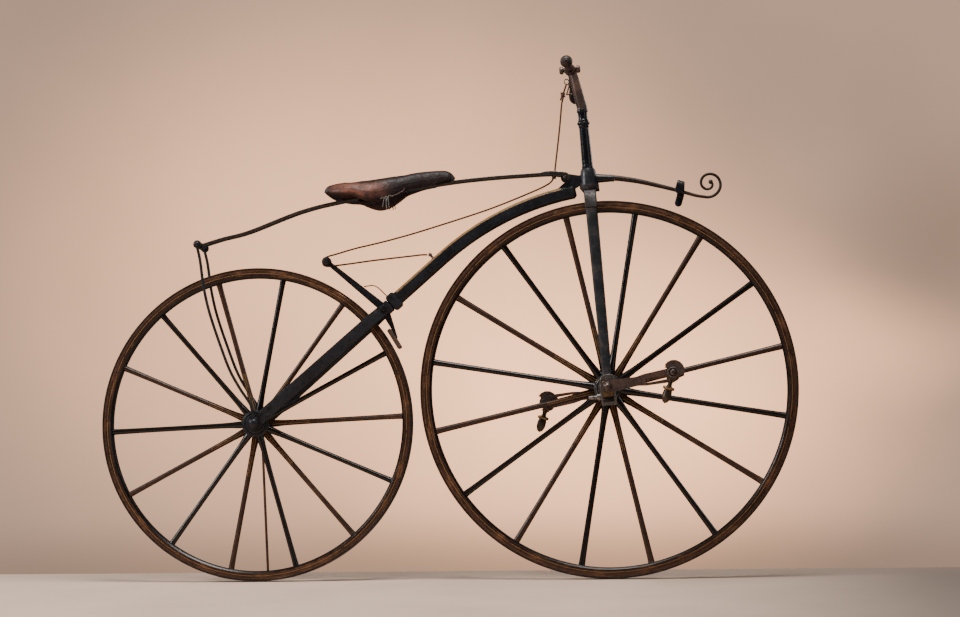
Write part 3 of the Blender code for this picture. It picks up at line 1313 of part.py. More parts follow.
def saddle():
    """The long pear-shaped saddle, lofted from its cross-sections, and the flap laced under the leaf."""
    work = bmesh.new()
    rings = []
    for along, width, top, edge in SADDLE_SHARES:
        forward = SADDLE_REAR + SADDLE_LENGTH * along
        crown_height = SADDLE_LOW + SADDLE_RISE * top
        edge_height = SADDLE_LOW + SADDLE_RISE * edge
        narrow = along > SADDLE_NOSE_SHARE
        half = saddle_section(forward, SADDLE_HALF_WIDTH * width, crown_height, edge_height, narrow)
        around = half + [(-out, up) for out, up in reversed(half[1:-1])]
        rings.append([work.verts.new((forward, out, up)) for out, up in around])
    for first, second in zip(rings, rings[1:]):
        for index, vertex in enumerate(first):
            following = (index + 1) % len(first)
            work.faces.new((vertex, first[following], second[following], second[index]))
    work.faces.new(rings[0])
    work.faces.new(rings[-1])
    bmesh.ops.recalc_face_normals(work, faces=work.faces)
    mesh = bpy.data.meshes.new("saddle")
    work.to_mesh(mesh)
    work.free()
    put("saddle_leather", smooth(mesh), "leather", STANCE)

    path = []
    for index in range(7):
        forward = FLAP_REAR + FLAP_LENGTH * index / 6
        drop = SPRING_THICKNESS / 2 + SEAT_GAP + FLAP_DEPTH / 2
        path.append(Vector((forward, spring_top(forward) - SPRING_THICKNESS / 2 - drop - SEAT_GAP)))
    outline = strip(path, [FLAP_DEPTH] * len(path))
    piece = put("saddle_flap", plate(outline, SPRING_WIDTH), "leather", STANCE, turn=SIDE_VIEW)
    chamfer(piece, FLAP_ROUNDING, 2)


saddle()


# Brake lever, shoe, return wire and cord

PIVOT = along_backbone(LEVER_PIVOT_ALONG, LEVER_PIVOT_RISE)
KNOB = Vector(LEVER_KNOB)
SHOE_OUT = Vector((math.cos(SHOE_ANGLE), math.sin(SHOE_ANGLE)))
SHOE_INNER = REAR_WHEEL_RADIUS + SHOE_CLEAR
SHOE_OUTER = SHOE_INNER + SHOE_THICKNESS


def brake_lever():
    """The long arm to the cord's sheave and the short arm to the shoe, forged in one."""
    upper = [KNOB, PIVOT]
    mesh = plate(strip(upper, [LEVER_TIP_WIDTH, LEVER_ROOT_WIDTH]), LEVER_THICKNESS)
    piece = put("brake_lever", mesh, "black_iron", STANCE, turn=SIDE_VIEW)
    chamfer(piece, LEVER_THICKNESS / 5)
    foot = REAR_CENTRE + SHOE_OUT * (SHOE_INNER + SHOE_THICKNESS / 2)
    lower = plate(strip([PIVOT, foot], [LEVER_ROOT_WIDTH, LEVER_FOOT_WIDTH]), LEVER_FOOT_THICKNESS)
    join(piece, lower, turn=SIDE_VIEW)
    half = LEVER_THICKNESS / 2
    eye = cylinder(LEVER_ROOT_WIDTH / 2 + JOIN_OVERLAP, -LEVER_BOSS_HALF, LEVER_BOSS_HALF)
    join(piece, eye, (PIVOT.x, 0.0, PIVOT.y), ALONG_Y)
    wheel_end = half + SHEAVE_WIDTH
    knob = turned([
        (0.0, wheel_end + SHEAVE_FLANGE_WIDTH), (SHEAVE_FLANGE_RADIUS, wheel_end + SHEAVE_FLANGE_WIDTH),
        (SHEAVE_FLANGE_RADIUS, wheel_end), (SHEAVE_RADIUS, wheel_end), (SHEAVE_RADIUS, LEVER_BOSS_HALF),
        (LEVER_DISC_RADIUS, LEVER_BOSS_HALF), (LEVER_DISC_RADIUS, -half),
        (LEVER_DISC_TIP_RADIUS, -LEVER_DISC_REACH), (0.0, -LEVER_DISC_TIP_REACH),
    ], SMALL_STEPS)
    join(piece, knob, (KNOB.x, 0.0, KNOB.y), ALONG_Y)
    under = box(
        (SHOE_OUTER + SEAT_GAP - SHOE_LENGTH, -SHOE_WIDTH, -SHOE_LENGTH),
        (SHOE_OUTER + SEAT_GAP, SHOE_WIDTH, SHOE_LENGTH),
    )
    cut(piece, under, (REAR_CENTRE.x, 0.0, REAR_CENTRE.y), (0.0, -SHOE_ANGLE, 0.0))
    hole = cylinder(LEVER_BOLT_RADIUS + SEAT_GAP, -LEVER_THICKNESS, LEVER_THICKNESS, SMALL_STEPS)
    cut(piece, hole, (PIVOT.x, 0.0, PIVOT.y), ALONG_Y)


def brake_pivot():
    """The bolt through both fork arms that the lever swings on."""
    reach = pivot_arm_face() + SEAT_GAP
    head = LEVER_BOLT_HEAD_THICKNESS
    half = [
        (0.0, reach + head), (LEVER_BOLT_HEAD_RADIUS, reach + head), (LEVER_BOLT_HEAD_RADIUS, reach),
        (LEVER_BOLT_RADIUS, reach),
    ]
    other = [(radius, -height) for radius, height in reversed(half)]
    bolt = turned(half + other, SMALL_STEPS)
    put("brake_pivot", bolt, "black_iron", STANCE, (PIVOT.x, 0.0, PIVOT.y), ALONG_Y)


def pivot_arm_face():
    """How far the arms' outer faces stand from the middle plane at the pivot."""
    return ARM_SPREAD * ARM_SHOULDER_SHARES[0][1] + ARM_THICKNESS / 2 + ARM_BOLT_STANDOFF


def brake_shoe():
    """The flat shoe above the rear tyre."""
    mesh = box(
        (SHOE_INNER, -SHOE_WIDTH / 2, -SHOE_LENGTH / 2), (SHOE_OUTER, SHOE_WIDTH / 2, SHOE_LENGTH / 2)
    )
    turn = (0.0, -SHOE_ANGLE, 0.0)
    place = (REAR_CENTRE.x, 0.0, REAR_CENTRE.y)
    piece = put("brake_shoe", mesh, "black_iron", STANCE, place, turn)
    chamfer(piece, ARM_EDGE)


def return_wire():
    """The thin bent wire from the lever to the collar."""
    arm = PIVOT - KNOB
    along = arm.normalized()
    out = Vector((-along.y, along.x))
    width = LEVER_TIP_WIDTH + (LEVER_ROOT_WIDTH - LEVER_TIP_WIDTH) * RETURN_WIRE_START_SHARE
    clear = RETURN_WIRE_RADIUS + SEAT_GAP
    start = KNOB + arm * RETURN_WIRE_START_SHARE + out * (width / 2 + clear)
    end = along_backbone(BACKBONE_END + WIRE_FOOT_ALONG, BACKBONE_DEPTH / 2 + COLLAR_WALL + clear)
    lift = Vector((0.0, RETURN_WIRE_HEIGHT))
    middle = (start + end) / 2 + lift
    knots = [(start.x, 0.0, start.y), (middle.x, 0.0, middle.y), (end.x, 0.0, end.y)]
    path = flowing(knots, 5)
    mesh = tube(path, [RETURN_WIRE_RADIUS] * len(path))
    put("brake_return_wire", mesh, "bare_iron", STANCE)


def brake_cord():
    """The guide under the leaf, the stud on the backbone and the three runs of the cord."""
    bottom = spring_top(CORD_HOLE[0]) - SPRING_THICKNESS - SEAT_GAP * 2
    guide = ring(
        [(GUIDE_RADIUS, 0.0), (GUIDE_RADIUS, -GUIDE_HEIGHT), (GUIDE_BORE_RADIUS, -GUIDE_HEIGHT),
         (GUIDE_BORE_RADIUS, 0.0)],
        SMALL_STEPS,
    )
    place = (CORD_HOLE[0] - CORD_RADIUS, 0.0, bottom - SEAT_GAP)
    put("cord_guide", guide, "black_iron", STANCE, place)

    base = BACKBONE_DEPTH / 2 + SEAT_GAP
    stud = turned([
        *domed(STUD_EYE_RADIUS, STUD_HEIGHT, STUD_EYE_RADIUS), (STUD_RADIUS, STUD_HEIGHT - STUD_EYE_RADIUS),
        (STUD_RADIUS, 0.0), (0.0, 0.0),
    ], SMALL_STEPS)
    foot = along_backbone(STUD_ALONG, base)
    put("cord_stud", stud, "black_iron", STANCE, (foot.x, 0.0, foot.y), (0.0, -BACKBONE_ANGLE, 0.0))
    eye = along_backbone(STUD_ALONG, base + STUD_HEIGHT)

    top = by_steering(-EYE_REACH - SEAT_GAP * 2 - CORD_RADIUS, EYE_HEIGHT + CORD_RADIUS)
    split = by_steering(-CORD_SPLIT_BACK, CORD_SPLIT_HEIGHT)
    upper_start = by_steering(-CORD_SPLIT_BACK, CORD_SPLIT_HEIGHT - SEAT_GAP)
    upper_next = by_steering(-CORD_SPLIT_BACK, CORD_SPLIT_HEIGHT - CORD_RADIUS * 2)
    above = by_steering(-CORD_SPLIT_BACK, CORD_SPLIT_HEIGHT + CORD_RADIUS * 2)
    middle = (top + above) / 2
    head_run = [(point.x, 0.0, point.y) for point in (top, middle, above)]
    path = flowing(head_run, 2) + [Vector((split.x, 0.0, split.y))]
    put("brake_cord_top", tube(path, [CORD_RADIUS] * len(path)), "cord", STANCE)

    wrap = SHEAVE_RADIUS + CORD_RADIUS + SEAT_GAP
    beside = LEVER_THICKNESS / 2 + SHEAVE_WIDTH / 2 + SEAT_GAP
    run = [(upper_next.x, 0.0, upper_next.y)]
    run += [(forward, 0.0, up) for forward, up in UPPER_CORD_ROUTE]
    down = [Vector((upper_start.x, 0.0, upper_start.y))] + flowing(run, 3)
    around = [(forward, beside * side, up) for forward, up, side in LOWER_CORD_ROUTE]
    turn_points = arc(KNOB, wrap, WRAP_START, WRAP_END, 6)
    back = [(point.x, beside, point.y) for point in turn_points]
    home = (eye.x - STUD_EYE_RADIUS - CORD_RADIUS, 0.0, eye.y)
    ending = [(forward, beside * side, up) for forward, up, side in RETURN_CORD_ROUTE] + [home]
    whole = down + flowing([tuple(down[-1]), *around, *back, *ending], 2)[1:]
    put("brake_cord", tube(whole, [CORD_RADIUS] * len(whole)), "cord", STANCE)


brake_lever()
brake_pivot()
brake_shoe()
return_wire()
brake_cord()


# Leg rest and prop rod


def leg_rest():
    """The rod that runs forward from the head and curls up, with its strap."""
    root = by_steering(0.0, BRACKET_HEIGHT)
    start = Vector((root.x + BRACKET_LENGTH + SEAT_GAP, root.y))
    spiral = []
    turns = SPIRAL_PIECES
    for index in range(turns + 1):
        share = index / turns
        angle = SPIRAL_START + (SPIRAL_END - SPIRAL_START) * share
        radius = SPIRAL_OUTER + (SPIRAL_INNER - SPIRAL_OUTER) * share
        forward = SPIRAL_CENTRE[0] + radius * math.cos(angle)
        spiral.append((forward, 0.0, SPIRAL_CENTRE[1] + radius * math.sin(angle)))
    across = spiral[0][0] - start.x
    drop = spiral[0][2] - start.y
    knots = [(start.x + across * along, 0.0, start.y + drop * down) for along, down in ROD_DROP_SHARES]
    straight = (start.x + ROD_TIP_RADIUS, 0.0, start.y)
    run = [Vector(knots[0])] + flowing([straight, *knots[1:], spiral[0]], 3)[:-1]
    path = run + [Vector(point) for point in spiral]
    radii = []
    for point in run:
        share = (point.x - start.x) / across
        radii.append(ROD_ROOT_RADIUS + (ROD_TIP_RADIUS - ROD_ROOT_RADIUS) * share)
    radii += [ROD_TIP_RADIUS] * len(spiral)
    put("leg_rest_rod", tube(path, radii), "black_iron", STANCE)

    spot = min(run, key=lambda point: abs((point.x - start.x) / across - CROSSPIECE_PLACE_SHARE))
    place = run.index(spot)
    slope = math.atan2(run[place + 1].z - run[place - 1].z, run[place + 1].x - run[place - 1].x)
    radius = radii[place - 1] / math.cos(HALF_TURN / ROD_SIDES)
    corner = CROSSPIECE_CORNER
    half = CROSSPIECE_HALF
    right = [Vector((0.0, 0.0)), Vector((half - corner, 0.0))]
    right += arc((half - corner, -corner), corner, QUARTER_TURN, 0.0, 4)[1:]
    right.append(Vector((half, corner - CROSSPIECE_DROP)))
    left = [Vector((-point.x, point.y)) for point in reversed(right[1:])]
    line = left + right
    outline = strip(line, [CROSSPIECE_THICKNESS] * len(line))
    seat = radius + SEAT_GAP + CROSSPIECE_THICKNESS / 2
    centre = (spot.x - math.sin(slope) * seat, 0.0, spot.z + math.cos(slope) * seat)
    strap = plate(outline, CROSSPIECE_WIDTH)
    strap.transform(Matrix.Rotation(QUARTER_TURN, 4, "Z") @ Matrix.Rotation(QUARTER_TURN, 4, "X"))
    put("leg_rest_strap", strap, "black_iron", STANCE, centre, (0.0, -slope, 0.0))


def prop_rod():
    """The thin rod from under the left end of the rear axle out to the floor."""
    reach = REAR_NUT_RADIUS + SEAT_GAP
    start = Vector((PROP_MIDDLE + reach * math.sin(PROP_SPLAY), REAR_CENTRE.y - reach * math.cos(PROP_SPLAY)))
    height = start.y * math.cos(LEAN) - (start.x - TYRE_WIDTH / 2) * math.sin(LEAN)
    upright = PROP_SPLAY - LEAN
    length = (height - PROP_RADIUS * math.sin(upright)) / math.cos(upright)
    mesh = cylinder(PROP_RADIUS, 0.0, length, SMALL_STEPS)
    turn = (HALF_TURN + PROP_SPLAY, 0.0, 0.0)
    put("prop_rod", mesh, "rusty_iron", STANCE, (REAR_CENTRE.x, start.x, start.y), turn)


leg_rest()
prop_rod()
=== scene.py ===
"""Velocipede dressed for the picture: forged iron, wood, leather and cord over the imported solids.

Shapes are worked out in the machine's own upright frame, in metres: +X forward, +Y to its
left, +Z up, with zero under the front axle. One matrix leans them to where the solids stand.
"""
import math

import bmesh
import bpy
import numpy as np
from mathutils import Matrix


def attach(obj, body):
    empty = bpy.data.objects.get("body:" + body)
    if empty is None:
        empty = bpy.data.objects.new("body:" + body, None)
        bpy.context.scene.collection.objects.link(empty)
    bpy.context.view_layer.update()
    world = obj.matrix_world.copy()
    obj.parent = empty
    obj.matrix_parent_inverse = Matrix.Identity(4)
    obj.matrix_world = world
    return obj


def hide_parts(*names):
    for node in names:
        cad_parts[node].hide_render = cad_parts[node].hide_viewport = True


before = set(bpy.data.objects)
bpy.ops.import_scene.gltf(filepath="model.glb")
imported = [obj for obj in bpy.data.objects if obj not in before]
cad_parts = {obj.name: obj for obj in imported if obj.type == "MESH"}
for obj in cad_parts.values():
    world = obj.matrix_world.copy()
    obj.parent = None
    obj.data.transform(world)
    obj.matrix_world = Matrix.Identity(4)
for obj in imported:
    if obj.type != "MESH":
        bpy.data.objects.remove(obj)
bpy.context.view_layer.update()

bl_info = {
    "name": "Velocipede",
    "version": (1, 0, 0),
    "blender": (4, 5, 0),
    "location": "3D View > Sidebar > Velocipede",
    "description": "Wooden wheels, forged frame and leather saddle of a pedal velocipede",
    "category": "Object",
}

# Main sizes
FRONT_RADIUS = 0.470
REAR_RADIUS = 0.393
WHEELBASE = 0.8835
RAKE = math.radians(4.6)
LEAN = math.radians(3.0)
TYRE_WIDTH = 0.030
TYRE_DEPTH = 0.005
SEAT_GAP = 0.0003
FRONT_CENTRE = np.array((0.0, 0.0, FRONT_RADIUS))
REAR_CENTRE = np.array((-WHEELBASE, 0.0, REAR_RADIUS))
BACKBONE_ANGLE = math.radians(41.1)
CRANK_RISE = math.radians(9.8)
CRANK_LENGTH = 0.163
CAMERA_YAW = math.radians(4.489)
CAMERA_PITCH = math.radians(4.862)
CAMERA_ROLL = math.radians(-0.541)
CAMERA_PLACE = (0.1532, -6.0156, 0.1625)
CAMERA_LENS = 90.58
FOCAL_PIXELS = 2415.5
SIDES = (("right", -1.0), ("left", 1.0))
SPOKE_SIDES = 28
STRIPE_PLACE = 0.42
STRIPE_HALF = 0.105
STRIPE_REACH = 0.36
CORNERS = ((-1, -1), (1, -1), (1, 1), (-1, 1))
RENDER_SIZE = (960, 617)

# The handlebar in the steering frame: how far back, how high, its half span and its droop
BAR_BACK = -0.0215
BAR_HEIGHT = 0.8100
BAR_HALF = 0.2800
BAR_DROOP = 0.0310
GRIP_SPAN = 0.125
NECK_FOOT = 0.7063

# Backbone and rear fork
BACKBONE_DEEP = 0.0165
BACKBONE_WIDE = 0.0130
BACKBONE_CORNER = 0.00325
BACKBONE_START = 0.4765
BEND_START = 0.6273
BEND_RADIUS = 0.700
HEAD_SLOPE = math.radians(10.2)
ARM_SPREAD = 0.0450
ARM_HALF_THICK = 0.005
ARM_SHOULDER_SHARE = 0.30
BOLT_STANDOFF = 0.00175
REAR_PIN_HALF = 0.0500

# Seat spring
LEAF_THICK = 0.0065
LEAF_WIDE = 0.0340
LEAF_SLOT = 0.0155
LEAF_REAR = (-1.0270, 0.8450)
LEAF_LENGTH = 0.9250
LEAF_RISE = 0.1660
PIN_RADIUS = 0.0045
STRUT_RADIUS = 0.0037
EYE_HALF = 0.0025

# Brake and cord
CORD_RADIUS = 0.0023
KNOT_BACK = -0.0445
KNOT_HEIGHT = 0.7420
CORD_WHEEL = (-0.7060, 0.8010)
STUD_PLACE = 0.6080
GUIDE_PLACE = -0.1272
WIRE_RADIUS = 0.0015

# Leg rest and prop rod
REST_ROD_THICK = 0.0072
REST_ROD_THIN = 0.0038
REST_BAR_PLACE = 0.755
REST_BAR_HALF_THICK = 0.0025
CURL_CENTRE = (0.2572, 0.9800)
PROP_RADIUS = 0.0033

# Turned outlines as (length share, radius share) pairs
GRIP_OUTLINE = (
    (0.05, 0.80), (0.13, 0.96), (0.24, 1.0), (0.42, 0.92), (0.62, 0.74), (0.80, 0.60), (0.88, 0.56),
)
WEIGHT_OUTLINE = (
    (0.09, 0.0), (0.09, 0.55), (0.22, 0.50), (0.25, 0.80), (0.29, 0.42), (0.38, 0.36), (0.44, 0.48),
    (0.46, 0.98), (0.50, 1.00), (0.54, 0.92), (0.56, 0.66), (0.66, 0.78), (0.80, 0.76), (0.90, 0.60),
    (0.96, 0.40), (1.0, 0.0),
)

# Side views: the leaf as shares of its length and rise, a rod as shares of its reach and drop
SPRING_OUTLINE = (
    (0.0, 0.0), (0.061, 0.100), (0.137, 0.205), (0.275, 0.490), (0.389, 0.640), (0.555, 0.790),
    (0.689, 0.900), (0.794, 0.955), (0.890, 0.985), (0.958, 1.0), (0.985, 0.985),
)
STRUT_OUTLINE = (
    (0.0, 0.0), (0.05, 0.090), (0.105, 0.220), (0.175, 0.330), (0.265, 0.430), (0.42, 0.573),
    (0.58, 0.705), (0.76, 0.808), (0.95, 0.900),
)

# Saddle: at shares of its length, its width, crown and edge as shares of the most; then half a
# section as shares of half the width and of the height
SADDLE_REAR = -0.7090
SADDLE_LENGTH = 0.3300
SADDLE_HALF = 0.1000
SADDLE_LOW = 0.9400
SADDLE_DEEP = 0.0860
SADDLE_STATIONS = (
    (0.0, 0.50, 0.45, 0.36), (0.035, 0.66, 0.555, 0.31), (0.09, 0.84, 0.61, 0.25),
    (0.17, 0.97, 0.65, 0.21), (0.245, 1.0, 0.67, 0.19), (0.295, 0.985, 0.69, 0.11),
    (0.345, 0.96, 0.71, 0.04), (0.395, 0.90, 0.74, 0.0), (0.45, 0.81, 0.78, 0.02),
    (0.51, 0.70, 0.82, 0.10), (0.57, 0.59, 0.855, 0.23), (0.62, 0.50, 0.885, 0.35),
    (0.68, 0.42, 0.925, 0.42), (0.76, 0.33, 0.965, 0.50), (0.86, 0.28, 0.99, 0.56),
    (0.93, 0.265, 0.985, 0.62), (0.975, 0.22, 0.93, 0.67), (1.0, 0.15, 0.85, 0.72),
)
SADDLE_SECTION = (
    (0.0, 1.0), (0.34, 0.985), (0.62, 0.91), (0.84, 0.74), (0.97, 0.45), (1.0, 0.16), (0.96, 0.0),
)

# The cord's route: forward and up, and how far beside the middle as a share
UPPER_CORD = (
    (-0.1077, 1.1900), (-0.1130, 1.1360), (-0.1205, 1.0727), (-0.1262, 1.0270), (-0.1280, 1.0120),
    (-0.1300, 1.0030),
)
LOWER_CORD = (
    (-0.1325, 0.9960, 0.0), (-0.1425, 0.9880, 0.0), (-0.1614, 0.9774, 0.0), (-0.2148, 0.9554, 0.0),
    (-0.2859, 0.9285, 0.0), (-0.3567, 0.9060, 0.1), (-0.4282, 0.8848, 0.3), (-0.4992, 0.8646, 0.5),
    (-0.5703, 0.8471, 0.7), (-0.6321, 0.8340, 0.9), (-0.6774, 0.8215, 1.0), (-0.6960, 0.8166, 1.0),
)
RETURN_CORD = (
    (-0.6960, 0.7896, 1.0), (-0.6780, 0.7916, 1.0), (-0.6400, 0.7958, 0.9), (-0.5868, 0.8022, 0.7),
    (-0.4849, 0.8118, 0.2), (-0.4600, 0.8140, 0.0),
)
RETURN_CORD = (
    (-0.6960, 0.7896, 1.0), (-0.6780, 0.7916, 1.0), (-0.6400, 0.7958, 0.9), (-0.5868, 0.8022, 0.7),
    (-0.4849, 0.8118, 0.2), (-0.4600, 0.8140, 0.0),
)


# Frames, as 4 x 4 matrices


def turn(axis, angle):
    """A turn about one of the axes X, Y and Z: cosines and sines in a 4 x 4."""
    c, s = math.cos(angle), math.sin(angle)
    first, second = {"X": (1, 2), "Y": (2, 0), "Z": (0, 1)}[axis]
    made = np.eye(4)
    made[first, first] = made[second, second] = c
    made[first, second], made[second, first] = -s, s
    return made


def shift(place):
    """A move to a place."""
    made = np.eye(4)
    made[:3, 3] = place
    return made


def basis(origin, x_axis, y_axis, z_axis):
    """A frame from an origin and three axes, each a column."""
    made = np.eye(4)
    made[:3, 0], made[:3, 1], made[:3, 2], made[:3, 3] = x_axis, y_axis, z_axis, origin
    return made


QUARTER = math.pi / 2
MIDDLE_HEIGHT = FRONT_RADIUS + (BAR_HEIGHT - BAR_DROOP) * math.cos(RAKE) + BAR_BACK * math.sin(RAKE)
FORE_AND_AFT = (FRONT_RADIUS - WHEELBASE - REAR_RADIUS) / 2
STANCE = shift((
    -FORE_AND_AFT, -MIDDLE_HEIGHT * math.sin(LEAN), TYRE_WIDTH / 2 * math.sin(LEAN),
)) @ turn("X", -LEAN)
STEERING = shift(FRONT_CENTRE) @ turn("Y", -RAKE)
ALONG_Y = turn("X", -QUARTER)
FRONT_AXIS = shift(FRONT_CENTRE) @ ALONG_Y
REAR_AXIS = shift(REAR_CENTRE) @ ALONG_Y
SPINE = shift(REAR_CENTRE) @ turn("Y", -BACKBONE_ANGLE)


def as_matrix(array):
    """A 4 x 4 array as Blender's own matrix."""
    return Matrix(array.tolist())


def at(matrix, points):
    """Points carried by a 4 x 4: rotated, then moved."""
    points = np.asarray(points, float)
    return points @ matrix[:3, :3].T + matrix[:3, 3]


def by_steering(fore, up):
    """A point in the middle plane, across and along the steering axis."""
    return at(STEERING, (fore, 0.0, up))


def along_spine(distance, rise=0.0):
    """A point in the middle plane, along and above the backbone's straight run."""
    return at(SPINE, (distance, 0.0, rise))


# Surfaces: a shell is a dictionary of points, quads, triangles, a grain vector for each point and
# a number for each face that picks its finish

GRAIN_STRETCH = 0.05
GRAIN_ROUND = 0.012


def angles(count):
    """That many even steps once round, as angles from zero."""
    return np.arange(count) * 2 * math.pi / count


def surface(points, quads, flow, tris=None):
    """One shell: its points, its quads, any triangles and the grain vector at each point."""
    tris = np.zeros((0, 3), int) if tris is None else tris
    kind = (np.zeros(len(quads), int), np.zeros(len(tris), int))
    return {"points": np.asarray(points, float), "quads": quads, "tris": tris, "flow": flow, "kind": kind}


def painted(shell, number):
    """The whole shell in one of its piece's finishes."""
    return {**shell, "kind": tuple(np.full(len(k), number) for k in shell["kind"])}


def moved(shell, matrix):
    """The shell turned and carried by a 4 x 4."""
    return {**shell, "points": at(matrix, shell["points"])}


def about_face(shell, side):
    """A shell that points along +Z, or for the right side its half turn, which points along -Z."""
    return shell if side > 0 else moved(shell, turn("X", math.pi))


def together(*shells):
    """Several shells in one: points stacked, and each shell's faces counted on from there."""
    starts = np.cumsum([0] + [len(s["points"]) for s in shells])[:-1]
    return {
        "points": np.vstack([s["points"] for s in shells]),
        "quads": np.vstack([s["quads"] + n for s, n in zip(shells, starts)]),
        "tris": np.vstack([s["tris"] + n for s, n in zip(shells, starts)]),
        "flow": np.vstack([s["flow"] for s in shells]),
        "kind": tuple(np.concatenate([s["kind"][k] for s in shells]) for k in (0, 1)),
    }


def grid_faces(rows, columns, wrap_rows=False, wrap_columns=False):
    """Quads between neighbours of a grid of rows times columns, joined round where asked."""
    r = np.arange(rows if wrap_rows else rows - 1)
    c = np.arange(columns if wrap_columns else columns - 1)
    r, c = np.meshgrid(r, c, indexing="ij")
    r2, c2 = (r + 1) % rows, (c + 1) % columns
    corners = (r * columns + c, r * columns + c2, r2 * columns + c2, r2 * columns + c)
    return np.stack(corners, -1).reshape(-1, 4)


def outward(shell):
    """The shell with its faces outside: the sign of its volume, summed over triangles, decides."""
    p, q = shell["points"], shell["quads"]
    t = np.vstack((q[:, [0, 1, 2]], q[:, [0, 2, 3]], shell["tris"]))
    volume = np.einsum("ij,ij->i", p[t[:, 0]], np.cross(p[t[:, 1]], p[t[:, 2]])).sum()
    return {**shell, "quads": q[:, ::-1], "tris": shell["tris"][:, ::-1]} if volume < 0 else shell


def stacked(rings, length, low=None, high=None):
    """A closed shell over a stack of equal rings: quads between rings, and a fan of triangles
    to a point in the middle of the first and of the last ring. The grain runs up the stack."""
    rings = np.asarray(rings, float)
    count, around = rings.shape[:2]
    angle = np.tile(angles(around), count)
    flow = np.stack((
        GRAIN_ROUND * np.cos(angle), GRAIN_ROUND * np.sin(angle), np.repeat(length, around) * GRAIN_STRETCH,
    ), -1)
    first = rings[0].mean(0) if low is None else low
    last = rings[-1].mean(0) if high is None else high
    points = np.vstack((rings.reshape(-1, 3), first, last))
    flow = np.vstack((flow, (0.0, 0.0, length[0] * GRAIN_STRETCH), (0.0, 0.0, length[-1] * GRAIN_STRETCH)))
    c = np.arange(around)
    n = (c + 1) % around
    top = (count - 1) * around
    fans = np.vstack((
        np.stack((np.full(around, count * around), n, c), -1),
        np.stack((np.full(around, count * around + 1), top + c, top + n), -1),
    ))
    return outward(surface(points, grid_faces(count, around, False, True), flow, fans))


def rounded(profile, radius, pieces=3):
    """A 2-D line with each inner corner cut back by a radius and bent in an even curve: the
    corner and its two cut points blended with squared weights, as on a parabola."""
    profile = np.asarray(profile, float)
    profile = profile[np.concatenate(((True,), np.diff(lengths(profile)) > 1e-7))]
    made = [profile[:1]]
    t = np.linspace(0.0, 1.0, pieces + 1)[:, None]
    for before, corner, after in zip(profile, profile[1:], profile[2:]):
        into, out = corner - before, after - corner
        a, b = np.linalg.norm(into), np.linalg.norm(out)
        start = corner - into / a * min(radius, a * 0.45)
        end = corner + out / b * min(radius, b * 0.45)
        made.append((1 - t) ** 2 * start + 2 * t * (1 - t) * corner + t**2 * end)
    made.append(profile[-1:])
    return np.vstack(made)


def closed_rounded(section, radius, pieces=3):
    """A closed 2-D outline with every corner rounded, by the rule of rounded."""
    section = np.asarray(section, float)
    middle = (section[0] + section[-1]) / 2
    return rounded(np.vstack((middle, section, middle)), radius, pieces)[:-1]


def turned(profile, steps=48, radius=0.0006, pieces=2):
    """A solid of revolution: each (radius, height) pair carried round local Z, the point at
    angle a being (r cos a, r sin a, h). The outline starts and ends on the axis."""
    line = rounded(profile, radius, pieces) if radius else np.asarray(profile, float)
    angle = angles(steps)
    ring = line[1:-1]
    rings = np.stack((
        ring[:, :1] * np.cos(angle), ring[:, :1] * np.sin(angle), np.repeat(ring[:, 1:], steps, 1),
    ), -1)
    return stacked(rings, lengths(ring), (0.0, 0.0, line[0, 1]), (0.0, 0.0, line[-1, 1]))


def lengths(path):
    """How far along a line each of its points is."""
    return np.concatenate(((0.0,), np.cumsum(np.linalg.norm(np.diff(path, axis=0), axis=1))))


def hooped(section, steps=192):
    """A ring: a closed (radius, height) section carried round local Z, with the grain round it."""
    section = np.asarray(section, float)
    around = len(section)
    angle = angles(steps)
    rings = np.stack((
        np.cos(angle)[:, None] * section[:, 0], np.sin(angle)[:, None] * section[:, 0],
        np.tile(section[:, 1], (steps, 1)),
    ), -1)
    reach = section[:, 0].max() * GRAIN_STRETCH
    flow = np.stack((
        np.tile(lengths(section), steps), np.repeat(np.cos(angle), around) * reach,
        np.repeat(np.sin(angle), around) * reach,
    ), -1)
    return outward(surface(rings.reshape(-1, 3), grid_faces(steps, around, True, True), flow))


def washer(outer, bore, half, radius, pieces, steps):
    """A ring of a rectangular section with rounded corners, reaching half its height each way."""
    section = ((outer, half), (outer, -half), (bore, -half), (bore, half))
    return hooped(closed_rounded(section, radius, pieces), steps)
def flowing(points, pieces=12):
    """A smooth curve through the given points: the four-point cubic that leaves each point in
    the direction of its neighbours' chord."""
    knots = np.asarray(points, float)
    ends = np.vstack((knots[0] * 2 - knots[1], knots, knots[-1] * 2 - knots[-2]))
    t = (np.arange(pieces) / pieces)[:, None]
    made = []
    for a, b, c, d in zip(ends, ends[1:], ends[2:], ends[3:]):
        squared, cubed = a * 2 - b * 5 + c * 4 - d, b * 3 - a - c * 3 + d
        made.append((b * 2 + (c - a) * t + squared * t**2 + cubed * t**3) / 2)
    made.append(knots[-1:])
    return np.vstack(made)


def even(points, count):
    """Points spaced evenly along a line, by length."""
    points = np.asarray(points, float)
    along = lengths(points)
    wanted = np.linspace(0.0, along[-1], count)
    return np.stack([np.interp(wanted, along, points[:, k]) for k in range(points.shape[1])], -1)


def arc(centre, radius, start, end, pieces):
    """Points on an arc in a plane: centre plus radius times the cosine and sine of each angle."""
    angle = np.linspace(start, end, pieces + 1)
    return np.stack((centre[0] + radius * np.cos(angle), centre[1] + radius * np.sin(angle)), -1)


